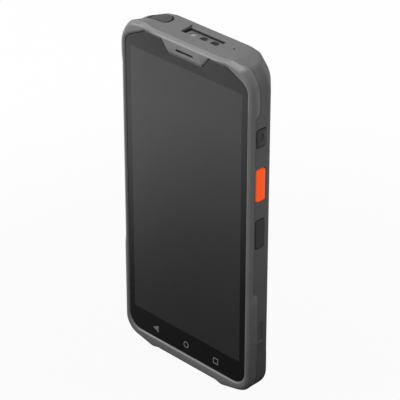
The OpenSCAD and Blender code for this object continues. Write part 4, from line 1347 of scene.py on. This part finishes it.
@dataclass(frozen=True)
class RearHousing:
    """Grained shell behind the front frame, with every opening cut in it.

    Attributes:
        wall: thickness of its walls.
        inner_back: depth where the room inside ends.
        depths: depths of its rings behind the frame's slanted joint.
        notch: drawn corners (x, d) of a grip notch on the right.
        notch_shares: heights of the grip notches, as shares of the body's height.
    """

    wall: float = 2.0
    inner_back: float = 15.4
    depths: tuple[float, ...] = (
        8.0, 8.8, 9.2, 9.6, 10.0, 10.4, 10.8, 11.2, 11.6, 12.4, 13.4, 14.4, 15.2, 15.8, 16.2, 16.5, 16.75, 16.95,
        17.1, 17.2)
    notch: tuple[Point2, ...] = (
        (36.75, 10.1), (38.5, 9.9), (38.5, 19.0), (30.05, 19.0), (30.1, 17.25), (31.35, 15.95), (36.25, 10.85))
    notch_shares: tuple[float, ...] = (0.22, 0.403, 0.587, 0.754)

    def shell(self, name: str) -> Piece:
        """Builds the closed outer form from the lip under the frame to the back."""

        def front(p: Point2) -> float:
            """Returns the depth of the housing's front edge."""
            return frame_depth(p) + 0.1

        rows = [
            outer_points(even(1.06), FRAME_D + 0.02),
            outer_points(even(1.05), front),
            outer_points(even(0.16), front),
            outer_points(even(0.05), lambda p: front(p) + 0.05),
            outer_points(even(0.0), lambda p: front(p) + 0.15),
        ]
        for s in (0.25, 0.5, 0.75):
            rows.append(outer_points(
                ring_insets(5.0 * s),
                lambda p, s=s: front(p) + 0.15 + (self.depths[0] - front(p) - 0.15) * s))
        return solid(name, rows + [outer_points(ring_insets(d), d) for d in self.depths])

    def hollow(self) -> Piece:
        """Builds the room inside the shell, without the blocks that hold the covers' pockets."""
        shape = Outline(body_corners(BODY_HALF_W, FOOT_H, BODY_H), BODY_RADII, [40.0] * 10, steps=4)
        w = self.wall
        room = solid("room", [level(shape.points(insets), d) for d, insets in (
            (1.4, even(w)), (9.3, even(w)), (self.inner_back, edges(w, w + 0.6, 7.7, 6.2, w + 0.3, w)))])
        blocks = join("blocks", [
            block("jack_block", (-30.5, -17.0), (6.8, 15.6), (148.6, ABOVE)),
            block("window_block", (-12.4, 12.4), (6.3, 14.8), (149.7, ABOVE)),
            block("port_block", (-10.6, 8.2), (4.3, 13.5), (BELOW, 4.7)),
        ])
        combine(room, blocks, "DIFFERENCE")
        return room

    def side_cutters(self) -> list[Piece]:
        """Builds the keys' holes and the cradle's pockets."""
        pocket = ((36.35, -0.3), (36.4, -0.12), (36.55, 0.0), (36.8, 0.12), (37.2, 0.5), (41.0, 0.5))
        return [
            plug("key_hole", key.side, (KEY_D, key.middle), (2.7, key.length / 2 + 0.3), 0.9,
                 flared(33.5, BODY_HALF_W, 0.12)) for key in KEYS
        ] + [plug("pocket", side, (6.6, 31.75), (1.6, 4.85), 1.0, pocket) for side in (Axis.RIGHT, Axis.LEFT)]

    def end_cutters(self) -> list[Piece]:
        """Builds the openings in the top end and in the bottom end."""
        ramp = [(13.2, 152.5), (13.4, 152.5), (14.5, 153.45), (14.5, 155.0), (13.2, 155.0)]
        return [
            plug("window_hole", Axis.TOP, (0.7, 10.55), (10.2, 2.85), 0.5,
                 ((151.1, 0.0), (152.95, 0.0), (153.25, 0.14), (153.6, 0.5), (158.0, 0.5))),
            prism("window_ramp", Axis.RIGHT, ramp, -9.9, 11.3),
            rod("mic_hole", at(17.2, 10.5, 147.3), at(17.2, 10.5, ABOVE), 0.5),
            plug("jack_hole", Axis.TOP, (-23.6, JACK_D), (5.4, 3.4), 3.2, ((151.1, 0.0), (ABOVE, 0.0)), 10),
            pin("knuckle_room", JACK_HINGE_X, JACK_HINGE_Z, (7.8, 14.6), 1.7, 32),
            block("knuckle_top", (-29.3, -26.0), (7.8, 14.6), (JACK_HINGE_Z, ABOVE)),
            rod("jack_bore", at(JACK_X, JACK_D, 145.3), at(JACK_X, JACK_D, 153.3), 2.9, 32),
            plug("port_hole", Axis.BOTTOM, (-1.15, PORT_D), (8.25, 3.5), 1.5,
                 ((2.4, 0.0), (0.85, 0.0), (0.65, 0.15), (BELOW, 0.15))),
            block("port_barrel", (-9.4, -6.5), (5.4, 12.4), (BELOW, 2.95)),
            plug("port_mouth", Axis.BOTTOM, (0.0, PORT_D), (4.7, 1.75), 1.5, ((6.0, 0.0), (-1.0, 0.0))),
        ]

    def back_cutters(self) -> list[Piece]:
        """Builds the openings in the back."""

        def bore(name: str, place: Point2, radii: Sequence[float], straight: float, sides: int) -> Piece:
            """Builds a round hole with the radii of its bore, its chamfer and its mouth."""
            inner, chamfer, mouth = radii
            return turned(name, at(place[0], 12.4, place[1]), BACK, [
                (0.0, 0.0), (inner, 0.0), (inner, straight), (chamfer, 4.8), (mouth, 5.0), (mouth, 7.0),
                (0.0, 7.0)], sides)

        made = [plug(
            "door_hole", Axis.BACK, (0.0, (DOOR_LOW + DOOR_HIGH) / 2),
            (DOOR_HALF_W, (DOOR_HIGH - DOOR_LOW) / 2), 3.0, flared(14.4, BODY_D))]
        for x, z in SCREWS:
            made.append(pin("shank_hole", x, z, (8.0, 20.0), 0.95))
            made.append(turned("head_hole", at(x, 15.2, z), BACK, [
                (0.0, 0.0), (1.7, 0.0), (1.7, 1.85), (1.86, 2.0), (2.0, 2.2), (2.0, 4.0), (0.0, 4.0)], 32))
        made.append(bore("camera_hole", (CAMERA_X, CAMERA_Z), (5.2, 5.34, 5.5), 4.65, 64))
        made.append(bore("flash_hole", (10.5, CAMERA_Z), (2.1, 2.2, 2.4), 4.7, 32))
        for i, place in enumerate(CONTACTS):
            made.append(plug(
                "sound_slot", Axis.BACK, (15.0, 13.1 + i * 2.6), (6.0, 0.6), 0.55, flared(12.4, BODY_D, 0.12)))
            made.append(bore("contact_hole", place, (1.35, 1.45, 1.6), 4.7, 24))
        return made

    def notch_cutters(self) -> list[Piece]:
        """Builds the grip notches across both rear edges."""
        return [
            prism("notch", Axis.TOP, [(sign * x, d) for x, d in self.notch], z - 0.75, z + 0.75)
            for z in (share * BODY_H for share in self.notch_shares) for sign in (-1.0, 1.0)]

    def build(self, palette: Palette) -> Piece:
        """Builds and dresses the shell."""
        piece = self.shell("rear_shell")
        combine(piece, self.hollow(), "DIFFERENCE")
        openings = self.side_cutters() + self.end_cutters() + self.back_cutters() + self.notch_cutters()
        combine(piece, join("cutters", openings), "DIFFERENCE", own=True)
        bm = bmesh.new()
        bm.from_mesh(piece.data)
        bmesh.ops.remove_doubles(bm, verts=bm.verts, dist=CUT_WELD)
        bmesh.ops.dissolve_degenerate(bm, edges=bm.edges, dist=CUT_WELD)
        bm.to_mesh(piece.data)
        bm.free()
        return settle(palette.put(piece, "housing_dark_grain", 30.0), "rear_housing")


@dataclass(frozen=True)
class TopEnd:
    """Pieces in the top end: scan window with its lenses, and the jack cover.

    Attributes:
        window_z: height of the window's plate.
        lens_d: depth of the lenses' middle.
        lenses: x, radius and finish of each lens.
    """

    window_z: float = 152.2
    lens_d: float = 10.2
    lenses: tuple[tuple[float, float, str], ...] = (
        (0.9, 1.65, "lens_black_matt"), (6.8, 1.85, "lens_black_matt"), (-4.9, 1.5, "lens_clear_pale"))

    def window(self, palette: Palette) -> Piece:
        """Builds the scan window: a dark bed, a lighter plate that leaves the bed showing along its left and rear
        edges as painted shade, black lips along those edges that paint the same shade, and three lenses.
        """
        bed = plug(
            "bed", Axis.TOP, (0.7, 10.55), (10.1, 2.75), 0.45, ((151.1, 0.0), (151.42, 0.0), (151.5, -0.08)))
        # painted shade: the plate sits off-centre on the bed, so the black bed shows along the left and rear edges
        # where the recess's walls are in shade
        plate = plug(
            "plate", Axis.TOP, (1.2, self.lens_d), (9.6, 2.4), 0.45,
            ((151.4, 0.0), (self.window_z - 0.12, 0.0), (self.window_z, -0.12)))
        for x, radius, _ in self.lenses:
            combine(plate, turned("pit", at(x, self.lens_d, self.window_z), UP, [
                (0.0, -0.35), (radius, -0.3), (radius + 0.05, -0.05), (radius + 0.15, 0.3), (0.0, 0.3)], 40),
                "DIFFERENCE")
        parts = [palette.put(bed, "module_black_moulded", 30.0), palette.put(plate, "window_plate_grey", 30.0)]
        # painted shade: thin black lips along the plate's left and rear edges stand in for the shaded walls of the
        # recess
        for name, x, d in (("side_lip", (-9.38, -9.0), (7.9, 13.2)), ("rear_lip", (-9.1, 10.7), (12.95, 13.28))):
            lip = block(name, x, d, (151.3, 152.85))
            bevel(lip, 0.06, 40.0)
            parts.append(palette.put(lip, "seal_rubber_and_painted_shade_black"))
        for x, radius, finish in self.lenses:
            lens = turned("lens", at(x, self.lens_d, self.window_z - 0.4), UP, [
                (0.0, -0.1), (radius - 0.05, -0.1), (radius - 0.05, 0.12), (radius * 0.85, 0.24),
                (radius * 0.5, 0.3), (0.0, 0.32)], 32)
            parts.append(palette.put(lens, finish, 50.0))
        return settle(join("scan_window_plate", parts), "scan_window")

    def jack_cover(self, palette: Palette, housing: RearHousing) -> Piece:
        """Builds the cover of the headset jack, its top following the shell."""
        turns = [math.radians(-90.0 + 180.0 * i / 24) for i in range(25)]
        plan = [(JACK_X + 2.5 * math.cos(t), JACK_D + 2.9 * math.sin(t)) for t in turns]
        keep = prism("keep", Axis.TOP, plan + [(-27.2, 14.1), (-27.2, 8.3)], JACK_HINGE_Z, 158.0)
        combine(keep, pin("knuckle", JACK_HINGE_X, JACK_HINGE_Z, (8.1, 14.3), 1.4, 40), "UNION")
        cover = housing.shell("jack_cover_flap")
        combine(cover, keep, "INTERSECT")
        combine(cover, pin("pin_hole", JACK_HINGE_X, JACK_HINGE_Z, (5.0, 17.0), 0.45), "DIFFERENCE")
        bevel(cover, 0.16, 50.0)
        foot = turned("plug", at(JACK_X, JACK_D, 150.4), UP, [
            (0.0, 0.0), (1.0, 0.0), (1.2, 0.2), (1.2, 1.1), (0.0, 1.1)], 32)
        parts = [palette.put(part, "cover_rubber_dark", 40.0) for part in (cover, foot)]
        return settle(join("jack_cover_flap", parts), "jack_cover", "jack_cover")


@dataclass(frozen=True)
class PortCover:
    """Hinged cover of the data port at the bottom end.

    Attributes:
        hinge_x: x of its pin.
        hinge_z: height of its pin.
        half_d: half its size along the depth.
    """

    hinge_x: float = -8.0
    hinge_z: float = 1.65
    half_d: float = 3.2

    def build(self, palette: Palette) -> Piece:
        """Builds and dresses the cover."""
        cover = plug(
            "port_cover_flap", Axis.BOTTOM, ((self.hinge_x + 7.1) / 2, PORT_D),
            ((6.5 - self.hinge_x) / 2, self.half_d), 1.2, ((0.75, -0.15), (0.9, 0.0), (1.9, 0.0), (2.0, -0.1)))
        span = (PORT_D - self.half_d, PORT_D + self.half_d)
        knuckle = pin("knuckle", self.hinge_x, self.hinge_z, span, 0.85, 32)
        tongue = plug(
            "tongue", Axis.BOTTOM, (0.0, PORT_D), (3.6, 1.0), 0.9, ((1.8, 0.0), (2.95, 0.0), (3.1, -0.15)))
        lip = plug("lip", Axis.BOTTOM, (5.6, PORT_D), (0.45, 1.6), 0.4, ((0.5, 0.0), (1.05, 0.0)))
        hole = pin("pin_hole", self.hinge_x, self.hinge_z, (0.0, 17.0), 0.45)
        for part, operation in ((knuckle, "UNION"), (tongue, "UNION"), (lip, "DIFFERENCE"), (hole, "DIFFERENCE")):
            combine(cover, part, operation)
        return settle(palette.put(cover, "cover_rubber_dark", 30.0), "port_cover", "port_cover")


@dataclass(frozen=True)
class BackPanel:
    """Battery cover with its finger hold, and the small pieces round it.

    Attributes:
        gap: gap between the battery cover and the housing.
        hold_z: height of the finger hold.
    """

    gap: float = 0.3
    hold_z: float = DOOR_HIGH - 4.6

    def cover(self, palette: Palette) -> Piece:
        """Builds the battery cover."""
        lid = plug(
            "battery_lid", Axis.BACK, (0.0, (DOOR_LOW + DOOR_HIGH) / 2),
            (DOOR_HALF_W - self.gap, (DOOR_HIGH - DOOR_LOW) / 2 - self.gap), 2.7,
            ((15.6, 0.0), (16.9, 0.0), (17.04, -0.06), (17.1, -0.2)), 10)
        hold = plug(
            "hold", Axis.BACK, (0.0, self.hold_z), (8.0, 1.4), 1.3,
            ((16.5, -0.35), (16.6, -0.12), (16.95, 0.0), (17.1, 0.12), (18.0, 0.3)), 10)
        combine(lid, hold, "DIFFERENCE")
        parts = [palette.put(lid, "cover_plastic_grain", 30.0)]
        for x in (-18.0, 18.0):
            tongue = plug(
                "tongue", Axis.BACK, (x, DOOR_HIGH - 1.6), (4.0, 1.0), 0.3,
                ((15.0, -0.1), (15.1, 0.0), (15.9, 0.0)), 4)
            parts.append(palette.put(tongue, "cover_plastic_grain"))
        ridge = plug(
            "ridge", Axis.BACK, (0.0, 0.0), (0.16, 1.0), 0.15, ((-0.3, 0.0), (0.12, 0.0), (0.2, -0.08)), 3)
        to_origin = Vector((0.0, -BODY_D / 2 * MM, 0.0))
        places = [at(-6.0 + i * 1.0, 16.5, self.hold_z) - to_origin for i in range(13)]
        parts.append(scatter("ribs", ridge, palette.made["cover_plastic_grain"], places))
        return settle(join("battery_lid", parts), "battery_cover", "battery_cover")

    def screws(self, palette: Palette) -> Piece:
        """Builds the housing screws: one screw with a six-lobed socket, repeated."""
        head = turned("screw", Vector(), BACK, [
            (0.0, -10.0), (0.8, -9.8), (0.8, 0.05), (1.5, 0.05), (1.6, 0.15), (1.6, 0.75), (1.45, 0.98), (1.1, 1.1),
            (0.0, 1.1)], 28)
        turns = [math.tau * i / 36 for i in range(36)]
        lobes = [(t, 0.62 + 0.13 * math.cos(6 * t)) for t in turns]
        combine(head, solid("socket", [
            [Vector((r * math.cos(t) * MM, y * MM, r * math.sin(t) * MM)) for t, r in lobes]
            for y in (0.4, 1.5)]), "DIFFERENCE")
        shade(head, 30.0)
        spots = [at(x, 15.2, z) for x, z in SCREWS]
        piece = scatter("case_screws", head, palette.made["screw_black_oxide"], spots, spin=1.0, seed=5)
        return settle(piece, "housing_screws")

    def contacts(self, palette: Palette) -> Piece:
        """Builds the four charging contacts as domed pads."""
        pad = turned("pad", Vector(), BACK, [
            (0.0, -1.6), (1.3, -1.6), (1.3, 0.6), (1.2, 0.72), (0.8, 0.8), (0.0, 0.82)], 24)
        shade(pad, 40.0)
        spots = [at(x, 16.2, z) for x, z in CONTACTS]
        piece = scatter("charge_contacts", pad, palette.made["contact_gold_plated"], spots)
        return settle(piece, "cradle_contacts")

    def camera(self, palette: Palette) -> Piece:
        """Builds the camera window: a ring, a dark glass and a small lens."""
        centre = at(CAMERA_X, 0.0, CAMERA_Z)
        parts = []
        for name, finish, angle, sides, profile in (
                ("ring", "module_black_moulded", 35.0, 64, (
                    (3.4, 15.5), (4.4, 15.45), (4.4, 15.9), (5.1, 15.95), (5.1, 17.05), (4.95, 17.18), (4.5, 17.2),
                    (4.25, 17.0), (4.2, 16.7), (3.4, 16.7), (3.4, 15.5))),
                ("glass", "lens_black_matt", 35.0, 64, (
                    (0.0, 15.6), (4.1, 15.6), (4.1, 16.95), (4.0, 17.0), (2.25, 17.0), (2.1, 16.9), (1.95, 16.45),
                    (0.0, 16.4))),
                ("lens", "lens_black_gloss", 50.0, 48, (
                    (0.0, 16.2), (1.8, 16.2), (1.8, 16.5), (1.5, 16.68), (1.1, 16.82), (0.6, 16.91),
                    (0.0, 16.94)))):
            parts.append(palette.put(turned(name, centre, BACK, profile, sides), finish, angle))
        return settle(join("camera_glass", parts), "camera_window")


# ---------------------------------------------------------------------------
# stage
# ---------------------------------------------------------------------------


@dataclass(frozen=True)
class Stage:
    """Floor, lights, world and camera, with places and sizes in metres.

    Attributes:
        lens: focal length of the camera in millimetres.
        azimuth: how far the camera stands to the right, in degrees.
        elevation: how high it stands, in degrees.
        place: its place.
        target: where the lamps point.
        lamps: name, place, side and power in watts of each lamp.
    """

    lens: float = 192.26
    azimuth: float = 44.68
    elevation: float = 30.07
    place: Triple = (0.5371, -0.5428, 0.5210)
    target: Triple = (0.0, 0.0, 0.08)
    lamps: tuple[tuple[str, Triple, float, float], ...] = (
        ("overhead", (-0.2, 0.0, 1.2), 0.9, 10.0), ("front", (-0.9, -0.9, 0.75), 0.7, 11.0))

    @staticmethod
    def stand(name: str, data: bpy.types.ID, place: Sequence[float], direction: Vector) -> Piece:
        """Links a camera or a lamp that looks along a direction."""
        piece = bpy.data.objects.new(name, data)
        piece.location = place
        piece.rotation_mode = "QUATERNION"
        piece.rotation_quaternion = direction.to_track_quat("-Z", "Y")
        bpy.context.scene.collection.objects.link(piece)
        return piece

    def camera(self) -> None:
        """Makes the camera."""
        data = bpy.data.cameras.new("view")
        data.lens = self.lens
        data.sensor_width = 36.0
        data.clip_start, data.clip_end = 0.01, 50.0
        a, e = math.radians(self.azimuth), math.radians(self.elevation)
        back = Vector((math.sin(a) * math.cos(e), -math.cos(a) * math.cos(e), math.sin(e)))
        bpy.context.scene.camera = self.stand("view", data, self.place, -back)

    def floor(self) -> None:
        """Makes the pale floor: white where the camera sees it, with a painted shadow that darkens its colour near
        the middle, and clear from below.
        """
        bm = bmesh.new()
        centre = Vector((0.0, 0.0, -0.0002))
        rings = wall(bm, [circle(centre, UP, radius, 64) for radius in (30.0, 400.0, 1200.0, 4000.0)])
        bm.faces.new(rings[0])
        piece = link("floor", mesh_from("floor", bm))
        for poly in piece.data.polygons:
            if poly.normal.z < 0:
                poly.flip()
        mat = bpy.data.materials.new("floor_white")
        mat.use_nodes = True
        mat.node_tree.nodes.clear()
        t = NodeTree(mat.node_tree)
        # painted shadow: the floor's colour goes from dark at the middle to pale 0.28 m out, a shadow painted in
        # rather than cast, which the glass and plastic also show as a painted reflection
        reach = t.add("ShaderNodeVectorMath", operation="LENGTH")
        t.feed(t.coords(), reach.inputs[0])
        painted_shadow = t.ramp(reach.outputs["Value"], 0.045, 0.28)
        matt = t.add("ShaderNodeBsdfDiffuse", {
            "Color": t.mix(painted_shadow, rgba((0.12, 0.12, 0.12)), rgba((0.85, 0.85, 0.85)))})
        light = t.add("ShaderNodeEmission", {"Strength": 1.0})
        seen = t.times(t.add("ShaderNodeLightPath").outputs["Is Camera Ray"], 0.95)
        below = t.add("ShaderNodeNewGeometry").outputs["Backfacing"]
        both = t.blend(below, t.blend(seen, matt, light), t.add("ShaderNodeBsdfTransparent"))
        t.add("ShaderNodeOutputMaterial", {"Surface": both.outputs[0]})
        piece.data.materials.append(mat)

    def world(self) -> None:
        """Makes the world: white where it is seen, plain soft light elsewhere."""
        world = bpy.data.worlds.new("studio")
        world.use_nodes = True
        bpy.context.scene.world = world
        world.node_tree.nodes.clear()
        t = NodeTree(world.node_tree)
        soft, white = (t.add("ShaderNodeBackground", {"Strength": strength}) for strength in (0.28, 1.0))
        path = t.add("ShaderNodeLightPath").outputs
        seen = t.math("MAXIMUM", path["Is Camera Ray"], path["Is Transmission Ray"])
        both = t.blend(t.math("MAXIMUM", seen, path["Is Glossy Ray"]), soft, white)
        t.add("ShaderNodeOutputWorld", {"Surface": both.outputs[0]})

    def build(self) -> None:
        """Sets the whole stage."""
        self.camera()
        self.floor()
        self.world()
        for name, place, size, power in self.lamps:
            data = bpy.data.lights.new(name, "AREA")
            data.shape = "SQUARE"
            data.size = size
            data.energy = power
            self.stand(name, data, place, Vector(self.target) - Vector(place))
        bpy.context.scene.view_settings.view_transform = "Standard"


def main() -> None:
    """Builds the terminal's pieces in order and sets the stage."""
    palette = Palette()
    front, housing, top, rear = FrontFrame(), RearHousing(), TopEnd(), BackPanel()
    front.build(palette)
    front.glass(palette)
    housing.build(palette)
    for key in KEYS:
        key.build(palette)
    top.window(palette)
    top.jack_cover(palette, housing)
    PortCover().build(palette)
    rear.cover(palette)
    rear.screws(palette)
    rear.contacts(palette)
    rear.camera(palette)
    palette.dress_inside(frame["nodes"])
    Stage().build()


if __name__ == "__main__":
    logging.basicConfig(level=logging.INFO, format="%(message)s")
    main()
